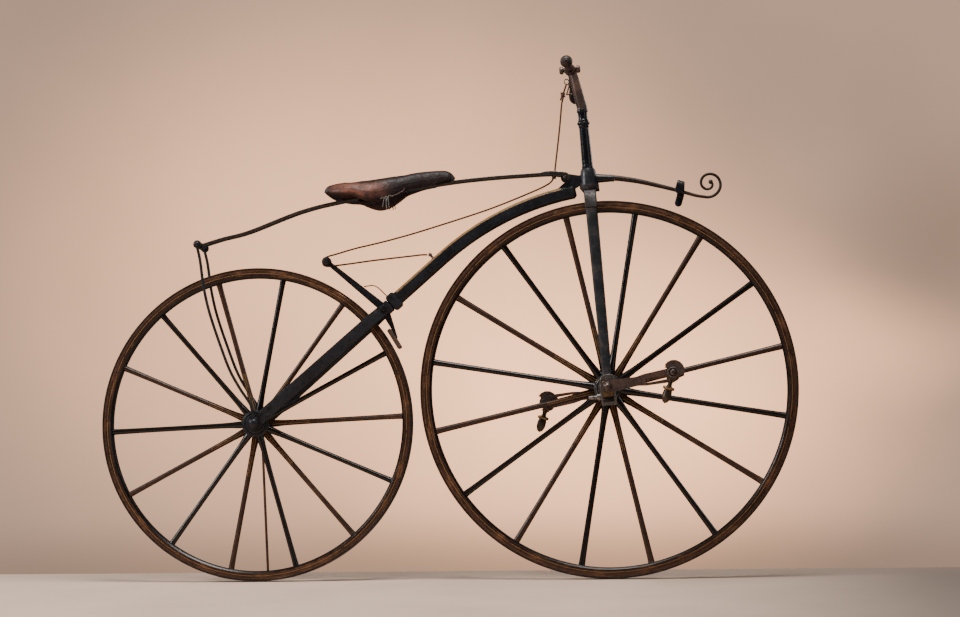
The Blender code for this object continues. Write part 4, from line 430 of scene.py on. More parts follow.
def carried(path, section, scale=None, side=(0.0, 1.0, 0.0), twist=None):
    """A closed section carried along a path. At each point its first axis is square to the path
    and to the side direction and its second axis is square to both; twist turns it there."""
    path = np.asarray(path, float)
    side = np.asarray(side, float)
    along = np.gradient(path, axis=0)
    along /= np.linalg.norm(along, axis=1)[:, None]
    second = side - along * (along @ side)[:, None]
    second /= np.linalg.norm(second, axis=1)[:, None]
    first = np.cross(second, along)
    section = np.asarray(section, float)
    if section.ndim == 2:
        section = np.repeat(section[None], len(path), 0)
    if scale is not None:
        section = section * np.asarray(scale, float).reshape(len(path), 1, -1)
    if twist is not None:
        c, s = np.cos(twist)[:, None], np.sin(twist)[:, None]
        x, y = section[..., 0], section[..., 1]
        section = np.stack((x * c - y * s, x * s + y * c), -1)
    rings = path[:, None] + section[..., :1] * first[:, None] + section[..., 1:] * second[:, None]
    return stacked(rings, lengths(path))


def circle(radius, sides=24):
    """A round section."""
    angle = angles(sides)
    return np.stack((radius * np.cos(angle), radius * np.sin(angle)), -1)


def squared_oval(count, power):
    """The two shares of a squared oval: cosine and sine of each angle, each to a power below one
    with its sign kept."""
    c, s = np.cos(angles(count)), np.sin(angles(count))
    return np.sign(c) * np.abs(c) ** power, np.sign(s) * np.abs(s) ** power


def bar_section(half_depth, half_width, radius, pieces=3):
    """A rectangular section with rounded corners."""
    return closed_rounded([(a * half_depth, b * half_width) for a, b in CORNERS], radius, pieces)


def in_plane(points, across=0.0):
    """Side-view (forward, up) points as 3-D points at one distance across."""
    points = np.asarray(points, float)
    return np.stack((points[:, 0], np.full(len(points), across), points[:, 1]), -1)


def bolt_head(radius, height, dome=0.25):
    """A six-sided bolt or nut on local Z: a prism with its top edge taken off to a dome."""
    half = math.pi / 6
    angle = (np.arange(24) + 0.5) * 2 * math.pi / 24
    reach = radius * math.cos(half) / np.cos((angle + half) % (2 * half) - half)
    rings = []
    for share, up in (
        (1.0, 0.0), (1.0, 1.0 - dome), (0.93, 1.0 - dome * 0.4), (0.80, 1.0 - dome * 0.1), (0.5, 1.0),
    ):
        radial = np.minimum(reach, radius * 0.97) * share
        level = np.full(len(angle), height * up)
        rings.append(np.stack((radial * np.cos(angle), radial * np.sin(angle), level), -1))
    return stacked(rings, np.linspace(0.0, height, len(rings)))


# Pieces in the scene


def as_mesh(name, shell):
    """A mesh of a shell's points and faces."""
    mesh = bpy.data.meshes.new(name)
    mesh.from_pydata(shell["points"].tolist(), [], shell["quads"].tolist() + shell["tris"].tolist())
    return mesh


def make(name, shell, finishes, body, replaces=(), matrix=STANCE, sharp=40.0):
    """A mesh object at the origin with its place in its mesh, smooth but for edges over an angle."""
    shell = moved(shell, matrix)
    mesh = as_mesh(name, shell)
    flow = mesh.attributes.new("grain", "FLOAT_VECTOR", "POINT")
    flow.data.foreach_set("vector", shell["flow"].astype(np.float32).ravel())
    mesh.polygons.foreach_set("material_index", np.concatenate(shell["kind"]).astype(np.int32))
    mesh.validate()
    piece = bpy.data.objects.new(name, mesh)
    return placed(piece, finishes, body, replaces, sharp)


def placed(piece, finishes, body, replaces, sharp):
    """Link a piece, give it its finishes, tie it to its body and hide the solids that it replaces."""
    bpy.context.scene.collection.objects.link(piece)
    for name in [finishes] if isinstance(finishes, str) else finishes:
        piece.data.materials.append(bpy.data.materials[name])
    piece.data.shade_smooth()
    piece.data.set_sharp_from_angle(angle=math.radians(sharp))
    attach(piece, body)
    if replaces:
        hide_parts(*([replaces] if isinstance(replaces, str) else replaces))
    return piece


def eased(name, node, finish, body, width=0.0008, segments=2):
    """A merged copy of a flat-sided solid with its edges eased by a bevel."""
    work = bmesh.new()
    work.from_mesh(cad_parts[node].data)
    bmesh.ops.remove_doubles(work, verts=work.verts, dist=0.00001)
    bmesh.ops.dissolve_limit(work, angle_limit=math.radians(0.3), verts=work.verts, edges=work.edges)
    mesh = bpy.data.meshes.new(name)
    work.to_mesh(mesh)
    work.free()
    piece = placed(bpy.data.objects.new(name, mesh), finish, body, node, 50.0)
    edges = piece.modifiers.new("Eased edges", "BEVEL")
    edges.width = width
    edges.segments = segments
    edges.limit_method = "ANGLE"
    edges.angle_limit = math.radians(35.0)
    edges.harden_normals = True


# Finishes


class Recipe:
    """A material under construction: nodes laid left to right, linked by name of socket."""

    def __init__(self, name, tree=None):
        self.place = -1600
        self.tree = tree
        if tree is None:
            self.material = bpy.data.materials.new(name)
            self.material.use_nodes = True
            self.tree = self.material.node_tree
            self.shader = self.tree.nodes["Principled BSDF"]

    def put(self, value, socket):
        """Link another node's output to a socket, or set a plain value there."""
        if isinstance(value, bpy.types.NodeSocket):
            self.tree.links.new(value, socket)
        else:
            socket.default_value = value

    def node(self, kind, inputs=None, **settings):
        """A node with its settings and its inputs, each a value or another node's output."""
        made = self.tree.nodes.new(kind)
        made.location = (self.place, -200 * (len(self.tree.nodes) % 5))
        self.place += 40
        for key, value in settings.items():
            setattr(made, key, value)
        for key, value in (inputs or {}).items():
            self.put(value, made.inputs[key])
        return made

    def noise(self, where, scale, detail=6.0, roughness=0.6, distortion=0.0):
        """A noise of that many lumps a metre, near a half all over."""
        return self.node("ShaderNodeTexNoise", {
            "Vector": where, "Scale": scale, "Detail": detail, "Roughness": roughness,
            "Distortion": distortion,
        }).outputs["Fac"]

    def cells(self, where, scale, feature):
        """Distances in a pattern of that many cells a metre, to a cell's middle or its edge."""
        made = self.node("ShaderNodeTexVoronoi", {"Vector": where, "Scale": scale}, feature=feature)
        return made.outputs["Distance"]

    def ramp(self, value, low, high, start=0.0, end=1.0):
        """A value taken from one range to another in a soft step."""
        return self.node("ShaderNodeMapRange", {
            "Value": value, "From Min": low, "From Max": high, "To Min": start, "To Max": end,
        }, interpolation_type="SMOOTHSTEP").outputs["Result"]

    def blend(self, share, first, second):
        """Two colours mixed by a share."""
        first, second = (
            colour if isinstance(colour, bpy.types.NodeSocket) else (*colour[:3], 1.0)
            for colour in (first, second)
        )
        return self.node("ShaderNodeMix", {0: share, 6: first, 7: second}, data_type="RGBA").outputs[2]

    def times(self, first, second):
        """The product of two values."""
        return self.node("ShaderNodeMath", {0: first, 1: second}, operation="MULTIPLY").outputs[0]

    def bump(self, height, distance, below=None):
        """A relief of that depth in metres, over another."""
        inputs = {"Height": height, "Distance": distance}
        if below is not None:
            inputs["Normal"] = below
        return self.node("ShaderNodeBump", inputs).outputs["Normal"]

    def end(self, colour, roughness, normal, metallic=0.0, specular=0.5):
        """Wire the finished colour, roughness, relief, metal and mirror level to the shader."""
        for name, value in (
            ("Base Color", colour), ("Roughness", roughness), ("Normal", normal), ("Metallic", metallic),
            ("Specular IOR Level", specular),
        ):
            self.put(value, self.shader.inputs[name])

    def space(self):
        """Object coordinates, in metres."""
        return self.node("ShaderNodeTexCoord").outputs["Object"]

    def grain(self):
        """The piece's own grain vector."""
        return self.node("ShaderNodeAttribute", attribute_name="grain").outputs["Vector"]

    def worn(self, low, high):
        """Where edges stand proud, and by a broken amount."""
        edge = self.node("ShaderNodeNewGeometry").outputs["Pointiness"]
        broken = self.noise(self.space(), 160.0, 5.0, 0.7)
        return self.times(self.ramp(edge, low, high), self.ramp(broken, 0.30, 0.62))


def iron(name, dark, light, rust, bare, metal, gloss, wear=0.55, rusting=0.62):
    """Forged iron: paint or patina clouded in two tones, rust in patches and bare edges, over
    hammer marks and fine pits."""
    made = Recipe(name)
    space = made.space()
    clouds = made.noise(space, 22.0, 7.0, 0.62, 0.4)
    small = made.noise(space, 150.0, 6.0, 0.65)
    pits = made.noise(space, 620.0, 3.0, 0.6)
    colour = made.blend(made.ramp(clouds, 0.36, 0.66), dark, light)
    patches = made.times(made.ramp(clouds, rusting - 0.12, rusting + 0.06), made.ramp(small, 0.40, 0.60))
    colour = made.blend(patches, colour, rust)
    flecks = made.ramp(pits, 0.60, 0.68)
    colour = made.blend(made.times(flecks, 0.45), colour, rust)
    edges = made.times(made.worn(0.505, 0.555), wear)
    colour = made.blend(edges, colour, bare)
    shine = made.ramp(small, 0.3, 0.7, gloss[0], gloss[1])
    metallic = made.ramp(edges, 0.0, 0.6, metal, 1.0)
    relief = made.bump(clouds, 0.0007)
    relief = made.bump(small, 0.00014, relief)
    relief = made.bump(pits, 0.00004, relief)
    made.end(colour, shine, relief, metallic, 0.32)


def timber(name, dark, light, bare, gloss, fine=900.0, wear=0.5, scuffs=0.6):
    """Old varnished or painted wood: streaks along the grain in two tones, rubbed edges, dark
    pores and scratches."""
    made = Recipe(name)
    grain = made.grain()
    space = made.space()
    broad = made.noise(grain, 130.0, 5.0, 0.6, 0.5)
    streaks = made.noise(grain, fine, 6.0, 0.7, 0.3)
    clouds = made.noise(space, 14.0, 5.0, 0.6)
    colour = made.blend(made.ramp(streaks, 0.34, 0.66), dark, light)
    colour = made.blend(made.times(made.ramp(broad, 0.42, 0.66), 0.85), colour, dark)
    rubbed = made.times(made.ramp(clouds, scuffs - 0.10, scuffs + 0.08), made.ramp(streaks, 0.42, 0.62))
    colour = made.blend(made.times(rubbed, 0.85), colour, bare)
    edges = made.times(made.worn(0.503, 0.545), wear)
    colour = made.blend(edges, colour, bare)
    shine = made.ramp(streaks, 0.3, 0.7, gloss[0], gloss[1])
    relief = made.bump(streaks, 0.00003)
    relief = made.bump(broad, 0.00022, relief)
    made.end(colour, shine, relief, 0.0, 0.34)


def gilding(name, gold, under):
    """A painted line in ochre, dull, rubbed through to what is under it. On the backbone's top corners it
    also stands in for a highlight.
    """
    made = Recipe(name)
    space = made.space()
    gone = made.noise(space, 90.0, 7.0, 0.7)
    tone = made.noise(space, 340.0, 4.0, 0.6)
    colour = made.blend(made.ramp(tone, 0.35, 0.65), gold, tuple(0.62 * c for c in gold))
    colour = made.blend(made.ramp(gone, 0.53, 0.63), colour, under)
    made.end(colour, made.ramp(tone, 0.3, 0.7, 0.45, 0.65), made.bump(tone, 0.0001))


def hide(name, dark, red, shine):
    """Saddle leather: dark where it is polished, red-brown where it is rubbed, with a pebbled
    grain, fine cracks and longer creases."""
    made = Recipe(name)
    space = made.space()
    rubbed = made.noise(space, 16.0, 5.0, 0.62, 0.6)
    mottled = made.noise(space, 95.0, 6.0, 0.65)
    pebbles = made.cells(space, 620.0, "F1")
    cracks = made.cells(space, 75.0, "DISTANCE_TO_EDGE")
    weight = made.node("ShaderNodeAttribute", attribute_name="rubbed").outputs["Fac"]
    share = made.times(made.ramp(rubbed, 0.30, 0.54), weight)
    colour = made.blend(share, dark, red)
    colour = made.blend(made.ramp(mottled, 0.56, 0.72, 0.0, 0.6), colour, tuple(0.45 * c for c in dark))
    line = made.ramp(cracks, 0.0, 0.035, 1.0, 0.0)
    line = made.times(line, made.ramp(mottled, 0.45, 0.62))
    colour = made.blend(made.times(line, 0.55), colour, tuple(0.3 * c for c in dark))
    gloss = made.ramp(mottled, 0.3, 0.7, shine[0], shine[1])
    relief = made.bump(rubbed, 0.0022)
    relief = made.bump(line, 0.0005, made.bump(mottled, 0.0006, relief))
    relief = made.bump(pebbles, 0.00022, relief)
    made.end(colour, gloss, relief, 0.0, 0.26)


def fibre(name, tone, pale):
    """Twisted fibre: fine hairs in two tones along the lay."""
    made = Recipe(name)
    hairs = made.noise(made.space(), 1500.0, 4.0, 0.7)
    soil = made.noise(made.space(), 60.0, 4.0, 0.6)
    colour = made.blend(made.ramp(hairs, 0.35, 0.68), tone, pale)
    colour = made.blend(made.ramp(soil, 0.52, 0.70, 0.0, 0.7), colour, tuple(0.4 * c for c in tone))
    made.end(colour, 0.86, made.bump(hairs, 0.00025))


# Wheels


def felloe_shell(radius, depth, line_width):
    """The felloe: a ring of a chamfered section, with its painted line and its dark inner side
    picked out by where the middle of each stretch of the section lies."""
    half = TYRE_WIDTH / 2
    outer = radius - TYRE_DEPTH - SEAT_GAP
    inner = outer - depth
    edge = 0.005
    line = inner + edge + 0.0060
    section = closed_rounded((
        (outer, half), (outer, -half), (line + line_width, -half), (line, -half), (inner + edge, -half),
        (inner, edge - half), (inner, half - edge), (inner + edge, half), (line, half),
        (line + line_width, half),
    ), 0.0005, 2)
    steps = 200
    felloe = hooped(section, steps)
    middle = (section + np.roll(section, -1, axis=0)) / 2
    on_line = (middle[:, 0] > line) & (middle[:, 0] < line + line_width)
    lined = on_line & (abs(middle[:, 1]) > half - 0.0004)
    dark = middle[:, 0] < inner + edge
    felloe["kind"] = (np.tile(np.where(lined, 1, np.where(dark, 2, 0)), steps), felloe["kind"][1])
    return moved(felloe, ALONG_Y)


def spokes_shell(radius, depth, count, phase, width):
    """The spokes: each an ellipse carried from beside the hub's middle to the felloe, its size a
    smooth curve through the flare shares. Every second one is brown and carries a line."""
    flare = flowing(((0.0, 1.30), (0.08, 1.22), (0.20, 0.94), (0.60, 0.86), (0.92, 0.94), (1.0, 1.04)), 8)
    swell = flare[:, 1:2]
    tip = radius - TYRE_DEPTH - SEAT_GAP - depth - SEAT_GAP
    half_thick = 0.0090
    angle = angles(SPOKE_SIDES)
    near = np.cos(angle + math.pi / SPOKE_SIDES)
    spokes = []
    for index in range(count):
        side = 1.0 if index % 2 else -1.0
        a = phase + 2 * math.pi * index / count
        out = np.array((math.cos(a), 0.0, math.sin(a)))
        foot = out * 0.016 + np.array((0.0, side * 0.010, 0.0))
        along = out * tip - foot
        length = np.linalg.norm(along)
        along /= length
        across = np.cross((0.0, 1.0, 0.0), along)
        across /= np.linalg.norm(across)
        deep = np.cross(along, across)
        rings = (
            foot + flare[:, :1, None] * length * along
            + (width / 2 * swell * np.cos(angle))[..., None] * across
            + (half_thick * swell * np.sin(angle))[..., None] * deep
        )
        spoke = stacked(rings, flare[:, 0] * length)
        spoke["flow"] = spoke["flow"] + index * 0.037
        brown = int(index % 2)
        stripe = (abs(abs(near) - STRIPE_PLACE) < STRIPE_HALF) & (brown == 1)
        lined = stripe & (flare[1:, :1] < STRIPE_REACH)
        spoke["kind"] = (np.where(lined, 2, brown).ravel(), np.full(len(spoke["tris"]), brown))
        spokes.append(spoke)
    return together(*spokes)


def hub_core(radius, half):
    """The hub's core: a barrel with a bead at each end."""
    return turned((
        (0.0, -half), (radius * 0.96, -half), (radius, -half + 0.003), (radius, -half + 0.007),
        (radius * 0.90, -half + 0.009), (radius * 0.90, half - 0.009), (radius, half - 0.007),
        (radius, half - 0.003), (radius * 0.96, half), (0.0, half),
    ), 64)


def flange(radius, start, bore, side):
    """A hub flange as a turned ring: rim, cove and two fine steps to the collar at the axle."""
    steps = (
        (bore, 0.0), (radius, 0.0), (radius, 0.0026), (radius * 0.965, 0.0032), (radius * 0.90, 0.0032),
        (radius * 0.885, 0.0046), (radius * 0.80, 0.0050), (radius * 0.78, 0.0043),
        (radius * 0.70, 0.0043), (radius * 0.67, 0.0058), (radius * 0.50, 0.0060), (bore, 0.0060),
    )
    shell = hooped(closed_rounded(steps, 0.0004, 2), 96)
    return about_face(moved(shell, shift((0.0, 0.0, start))), side)

def build_wheels(sizes):
    """Both wheels: tyre, felloe with its line, spokes with the hub core, flanges."""
    for name, centre, radius, depth, count, phase, width, core, hub_half, rim, bore, finish in (
        (
            "front", FRONT_CENTRE, FRONT_RADIUS, 0.0225, 16, math.radians(80.6), 0.0160, 0.028, 0.034,
            0.035, 0.0104, "Hub iron",
        ),
        (
            "rear", REAR_CENTRE, REAR_RADIUS, 0.0200, 14, math.radians(79.6), 0.0145, 0.026, 0.026,
            0.034, 0.0094, "Black iron",
        ),
    ):
        body = name + "_wheel"
        place = STANCE @ shift(centre)
        tyre = washer(radius, radius - TYRE_DEPTH, TYRE_WIDTH / 2, 0.0012, 3, 240)
        make(f"{name}_iron_tyre", tyre, "Tyre iron", body, f"{name}_tyre", place @ ALONG_Y)
        felloe = felloe_shell(radius, depth, sizes.line_width)
        finishes = ("Felloe wood", "Ochre line", "Black spoke wood")
        make(f"{name}_wood_felloe", felloe, finishes, body, f"{name}_felloe", place)
        spokes = spokes_shell(radius, depth, count, phase, width)
        shell = together(spokes, painted(moved(hub_core(core, hub_half), ALONG_Y), 3))
        finishes = ("Black spoke wood", "Brown spoke wood", "Ochre line", "Black iron")
        make(f"{name}_turned_spokes", shell, finishes, body, f"{name}_spokes", place)
        for side_name, side in SIDES:
            make(
                f"{name}_hub_flange_{side_name}", flange(rim, hub_half + SEAT_GAP, bore, side), finish,
                body, f"{name}_flange_{side_name}", place @ ALONG_Y,
            )


# Axles, cranks and pedals


def dome(radius, base, height, pieces=6):
    """The outline of a dome from its base up to its top: a quarter of an ellipse."""
    angle = np.linspace(0.0, QUARTER, pieces + 1)
    points = np.stack((radius * np.cos(angle), base + height * np.sin(angle)), -1)
    points[-1, 0] = 0.0
    return [tuple(p) for p in points]


def both_ends(half):
    """A turned outline from the low end up, mirrored from its upper half."""
    return [(r, -h) for r, h in reversed(half)] + list(half)


def build_drive():
    """Front axle, cranks, pedal pins, treads and the turned weights that hang under them."""
    shoulder, cone = 0.1026, 0.1046
    half = [(0.0100, 0.1020), (0.0100, shoulder), (0.0115, shoulder)]
    half += [(0.0115, shoulder + 0.0010), (0.0106, cone)]
    half += dome(0.0104, cone, 0.0110)
    make(
        "forged_front_axle", turned(both_ends(half), 48, 0.0003), "Bare iron", "front_wheel",
        "front_axle", STANCE @ FRONT_AXIS,
    )
    along = np.array((math.cos(CRANK_RISE), 0.0, math.sin(CRANK_RISE)))
    nut_end = 0.1083
    barrel_start = nut_end + 0.0025
    barrel = 0.088
    barrel_end = barrel_start + barrel
    pin = [(0.0, 0.0837), (0.0125, 0.0837), (0.0125, 0.0897), (0.0045, 0.0897), (0.0045, 0.1023)]
    pin += [(0.0125, 0.1023), (0.0125, nut_end), (0.0045, nut_end), (0.0045, barrel_end + 0.0006)]
    pin += [(0.0130, barrel_end + 0.0006), (0.0130, barrel_end + 0.0018), (0.0108, barrel_end + 0.0026)]
    pin += [(0.0100, barrel_end + 0.0018), (0.0078, barrel_end + 0.0018)]
    pin += dome(0.0072, barrel_end + 0.0020, 0.0046)
    drop, girth = 0.0760, 0.0145
    weight = turned([(girth * swell, -drop * share) for share, swell in WEIGHT_OUTLINE], 40, 0.0005)
    under = SEAT_GAP + 0.0100
    points = weight["points"]
    top = points[:, 2] > -under
    hollow = -np.sqrt(np.maximum(under**2 - points[top, 0] ** 2, 0.0))
    points[top, 2] = np.minimum(points[top, 2], hollow)
    shares = points[weight["quads"]].mean(1)[:, 2] / -drop
    collar = ((shares > 0.44) & (shares < 0.56)) | ((shares > 0.23) & (shares < 0.28))
    weight["kind"] = (collar.astype(int), weight["kind"][1])
    for side_name, side in SIDES:
        body = f"pedal_{side_name}"
        for name, node, carrier, width, segments in (
            ("slotted_crank", "crank", "front_wheel", 0.0012, 3),
            ("foot_tread", "pedal_tread", body, 0.0007, 2),
        ):
            eased(
                f"{name}_{side_name}", f"{node}_{side_name}", "Brown iron", carrier, width,
                segments,
            )
        end = FRONT_CENTRE - side * CRANK_LENGTH * along
        facing = shift(end) @ turn("X", -side * QUARTER)
        make(
            f"turned_pedal_pin_{side_name}", turned(pin, 32, 0.0004), "Bare iron", "front_wheel",
            f"pedal_pin_{side_name}", STANCE @ facing,
        )
        middle = side * (barrel_start + barrel / 2)
        place = shift(end + np.array((0.0, middle, 0.0))) @ turn("Y", math.radians(17.0))
        make(
            f"acorn_weight_{side_name}", weight, ("Dark brass", "Brass"), body,
            f"pedal_weight_{side_name}", STANCE @ place,
        )


# Fork and steering


def blade_shell(side):
    """A fork blade: level rings of a squared oval, |x/a|^n + |y/b|^n = 1 with n = 2.7, that
    shrink from the crown's leg down to the bearing while their middle moves outward."""
    low_half, high_half, low_middle, high_middle = 0.0110, 0.01425, 0.058, 0.0305
    up = np.linspace(0.0336, 0.4517, 40)
    share = (up - up[0]) / (up[-1] - up[0])
    middle = side * (low_middle + (high_middle - low_middle) * share)
    half = low_half + (high_half - low_half) * share
    x, y = squared_oval(40, 2 / 2.7)
    rings = np.stack((
        half[:, None] * x, (half * 0.52)[:, None] * y + middle[:, None], np.repeat(up[:, None], 40, 1),
    ), -1)
    return stacked(rings, up - up[0])


def build_fork():
    """Crown, blades, bearing frames with their bolts, and the brass blocks."""
    eased("forged_crown", "fork_crown", "Worn black iron", "steering_fork", 0.0012, 3)
    for side_name, side in SIDES:
        make(
            f"tapered_blade_{side_name}", blade_shell(side), "Worn black iron", "steering_fork",
            f"fork_blade_{side_name}", STANCE @ STEERING,
        )
        for name, node, finish, slot, width, segments in (
            ("bearing_frame", "fork_bearing", "Hub iron", "bare_iron", 0.0010, 3),
            ("brass_block", "bearing_brass", "Brass", "brass", 0.0006, 2),
        ):
            eased(
                f"{name}_{side_name}", f"{node}_{side_name}", finish, "steering_fork", width, segments,
            )


def neck_path():
    """The neck's middle line, from the column's top back to the clamp."""
    shares = ((0.0, 0.0), (0.0, 0.06), (0.16, 0.22), (0.36, 0.48), (0.55, 0.76), (0.75, 0.97), (1.0, 1.0))
    points = [(BAR_BACK * back, 0.0, NECK_FOOT + (BAR_HEIGHT - NECK_FOOT) * up) for back, up in shares]
    return flowing(points, 6)


def neck_shells():
    """The neck with its clamp round the bar, a knob on each face of the clamp and the open eye."""
    path = neck_path()
    girths = (1.0, 1.0, 1.0, 0.97, 0.86, 0.70, 0.66)
    radii = np.interp(np.linspace(0.0, 1.0, len(path)), np.linspace(0.0, 1.0, len(girths)), girths)
    centre = shift((BAR_BACK, 0.0, BAR_HEIGHT))
    cheek = [(0.0128, 0.0080), (0.0135, 0.0105), (0.0135, 0.0148), (0.0120, 0.0160), (0.0, 0.0160)]
    knob = turned((
        (0.0, 0.0105), (0.0075, 0.0105), (0.0070, 0.0140), (0.0048, 0.0150), (0.0056, 0.0162),
        (0.0094, 0.0172), (0.0098, 0.0225), (0.0082, 0.0256), (0.0040, 0.0268), (0.0, 0.0268),
    ), 32)
    eye = [(x, 0.0, z) for x, z in (
        (-0.0150, 0.7490), (-0.0330, 0.7480), (-0.0345, 0.7500), (-0.0262, 0.7700), (-0.0240, 0.7722),
        (-0.0200, 0.7700),
    )]
    return [
        carried(path, circle(0.0128, 28), radii), moved(turned(both_ends(cheek), 40), centre @ ALONG_Y),
        *[moved(knob, centre @ turn("Y", facing * QUARTER)) for facing in (1.0, -1.0)],
        carried(flowing(eye, 6), circle(0.0019, 14)),
    ]


def build_steering():
    """Column, neck with its clamp, knobs and open eye, the drooping bar and the two grips."""
    foot, top, collar = 0.5553, 0.7060, 0.6700
    column = (
        (0.0, 0.5130), (0.0100, 0.5130), (0.0100, foot), (0.0142, foot), (0.0142, foot + 0.007),
        (0.0130, foot + 0.010), (0.0136, foot + 0.0125), (0.0120, collar - 0.011),
        (0.0132, collar - 0.008), (0.0132, collar - 0.005), (0.0122, collar - 0.004),
        (0.0158, collar - 0.0015), (0.0158, collar + 0.0030), (0.0122, collar + 0.0050),
        (0.0130, collar + 0.0062), (0.0130, collar + 0.0085), (0.0116, collar + 0.0105),
        (0.0118, top - 0.0075), (0.0138, top - 0.0070), (0.0138, top), (0.0, top),
    )
    place = STANCE @ STEERING
    make(
        "turned_column", turned(column, 56, 0.0008, 3), "Glossy black iron", "steering_fork",
        "steering_column", place,
    )
    make(
        "curved_neck", together(*neck_shells()), "Brown iron", "steering_fork",
        "handlebar_stem", place,
    )

    droop = ((0.0, 0.0), (0.10, 0.0), (0.28, 0.04), (0.45, 0.14), (0.60, 0.32), (0.80, 0.62), (1.0, 1.0))
    reach = BAR_HALF - GRIP_SPAN - SEAT_GAP
    curve = flowing([(BAR_HALF * out, -BAR_DROOP * drop) for out, drop in droop], 8)
    rise = np.interp(reach, curve[:, 0], curve[:, 1])
    out = np.linspace(-reach, reach, 121)
    height = np.interp(abs(out), curve[:, 0], curve[:, 1])
    bar = np.stack((np.full(len(out), BAR_BACK), out, BAR_HEIGHT + height), -1)
    make(
        "drooping_bar", carried(bar, circle(0.0075, 24), side=(1.0, 0.0, 0.0)), "Brown iron", "steering_fork",
        "handlebar", place,
    )
    end = np.array((reach, BAR_HEIGHT + rise))
    tip = np.array((BAR_HALF, BAR_HEIGHT - BAR_DROOP))
    length = np.linalg.norm(tip - end)
    drop = math.atan2(end[1] - tip[1], tip[0] - end[0])
    belly = flowing([(0.0150 * swell, length * (1 - share)) for share, swell in GRIP_OUTLINE], 4)
    outline = [
        (0.0, length - 0.0006), (0.0022, length - 0.0004), (0.0032, length), (0.0046, length - 0.0002),
        (0.0056, length - 0.0016), (0.0082, length - 0.0020), (0.0098, length - 0.0040), *map(tuple, belly),
        (0.0111, length * 0.100), (0.0120, length * 0.050), (0.0108, length * 0.020), (0.0093, 0.0),
        (0.0, 0.0),
    ]
    for side_name, side in SIDES:
        spot = shift((BAR_BACK, side * reach, BAR_HEIGHT + rise)) @ turn("X", -side * (QUARTER + drop))
        make(
            f"turned_grip_{side_name}", turned(outline, 48, 0.0004), "Grip wood", "steering_fork",
            f"grip_{side_name}", place @ spot,
        )


# Backbone and rear fork


def backbone_path():
    """The backbone's middle line: straight from the lower end, then an arc to the head."""
    start = along_spine(BACKBONE_START)[[0, 2]]
    tangent = np.array((math.cos(BACKBONE_ANGLE), math.sin(BACKBONE_ANGLE)))
    normal = np.array((-tangent[1], tangent[0]))
    centre = REAR_CENTRE[[0, 2]] + tangent * BEND_START - normal * BEND_RADIUS
    bend = arc(centre, BEND_RADIUS, QUARTER + BACKBONE_ANGLE, QUARTER + HEAD_SLOPE, 60)
    return in_plane(even(np.vstack((start, bend)), 90))


def build_backbone():
    """Backbone, its ochre lines on the top corners (a painted line and a painted highlight of the top face in
    one), collar, both arms of the rear fork and the rear axle.
    """
    eased("forged_backbone", "backbone", "Black iron", "frame", 0.0012, 3)
    # Ochre strips along both top corners: partly a painted line, partly a painted highlight where light
    # catches the top face.
    path = backbone_path()[1:-6]
    half_line, proud = 0.0040, 0.00018
    stripes = []
    for side in (-1.0, 1.0):
        centre = np.array((-(BACKBONE_DEEP - BACKBONE_CORNER), side * (BACKBONE_WIDE - BACKBONE_CORNER)))
        along = np.array((1.0, side * 1.0)) / math.sqrt(2.0)
        out = np.array((-1.0, side * 1.0)) / math.sqrt(2.0)
        stripes.append(carried(path, np.array([
            centre + along * a * half_line + out * b * proud for a, b in CORNERS])))
    make("ochre_line_and_highlight", together(*stripes), "Ochre stripe", "frame")
    eased("forged_collar", "backbone_collar", "Black iron", "frame", 0.0010, 3)
    for side_name, side in SIDES:
        eased(
            f"fork_arm_{side_name}", f"rear_fork_{side_name}", "Black iron", "frame", 0.0010, 3,
        )
        bolts = []
        for along, up, size in ((0.028, 0.0085, 0.0042), (0.041, -0.0075, 0.0042), (0.055, 0.0065, 0.0036)):
            spot = at(SPINE, (along, side * (ARM_SPREAD + ARM_HALF_THICK), up))
            bolts.append(moved(bolt_head(size, 0.0028, 0.5), shift(spot) @ turn("X", -side * QUARTER)))
        make(f"arm_bolts_{side_name}", together(*bolts), "Black iron", "frame")
    base = ARM_SPREAD + ARM_HALF_THICK + 2 * EYE_HALF + 2 * SEAT_GAP
    half = [
        (0.0090, 0.0500), (0.0090, base), (0.0125, base), (0.0125, base + 0.0030), (0.0112, base + 0.0042),
        (0.0120, base + 0.0058), (0.0120, base + 0.0085),
    ]
    half += dome(0.0112, base + 0.0085, 0.0080)
    make(
        "rear_axle_nuts", turned(both_ends(half), 48, 0.0004), "Black iron", "frame",
        "rear_axle", STANCE @ REAR_AXIS,
    )


# Seat spring and struts


def leaf_path():
    """The leaf's middle line in the side view, from the rear pin to the top of its hook."""
    rear, up = LEAF_REAR
    return flowing([(rear + LEAF_LENGTH * a, up + LEAF_RISE * b) for a, b in SPRING_OUTLINE], 10)


def leaf_top(forward):
    """The height of the leaf's upper face at a place along the machine."""
    path = leaf_path()
    slope = np.gradient(path[:, 1], path[:, 0])
    return np.interp(forward, path[:, 0], path[:, 1] + LEAF_THICK / 2 * np.sqrt(1 + slope**2))


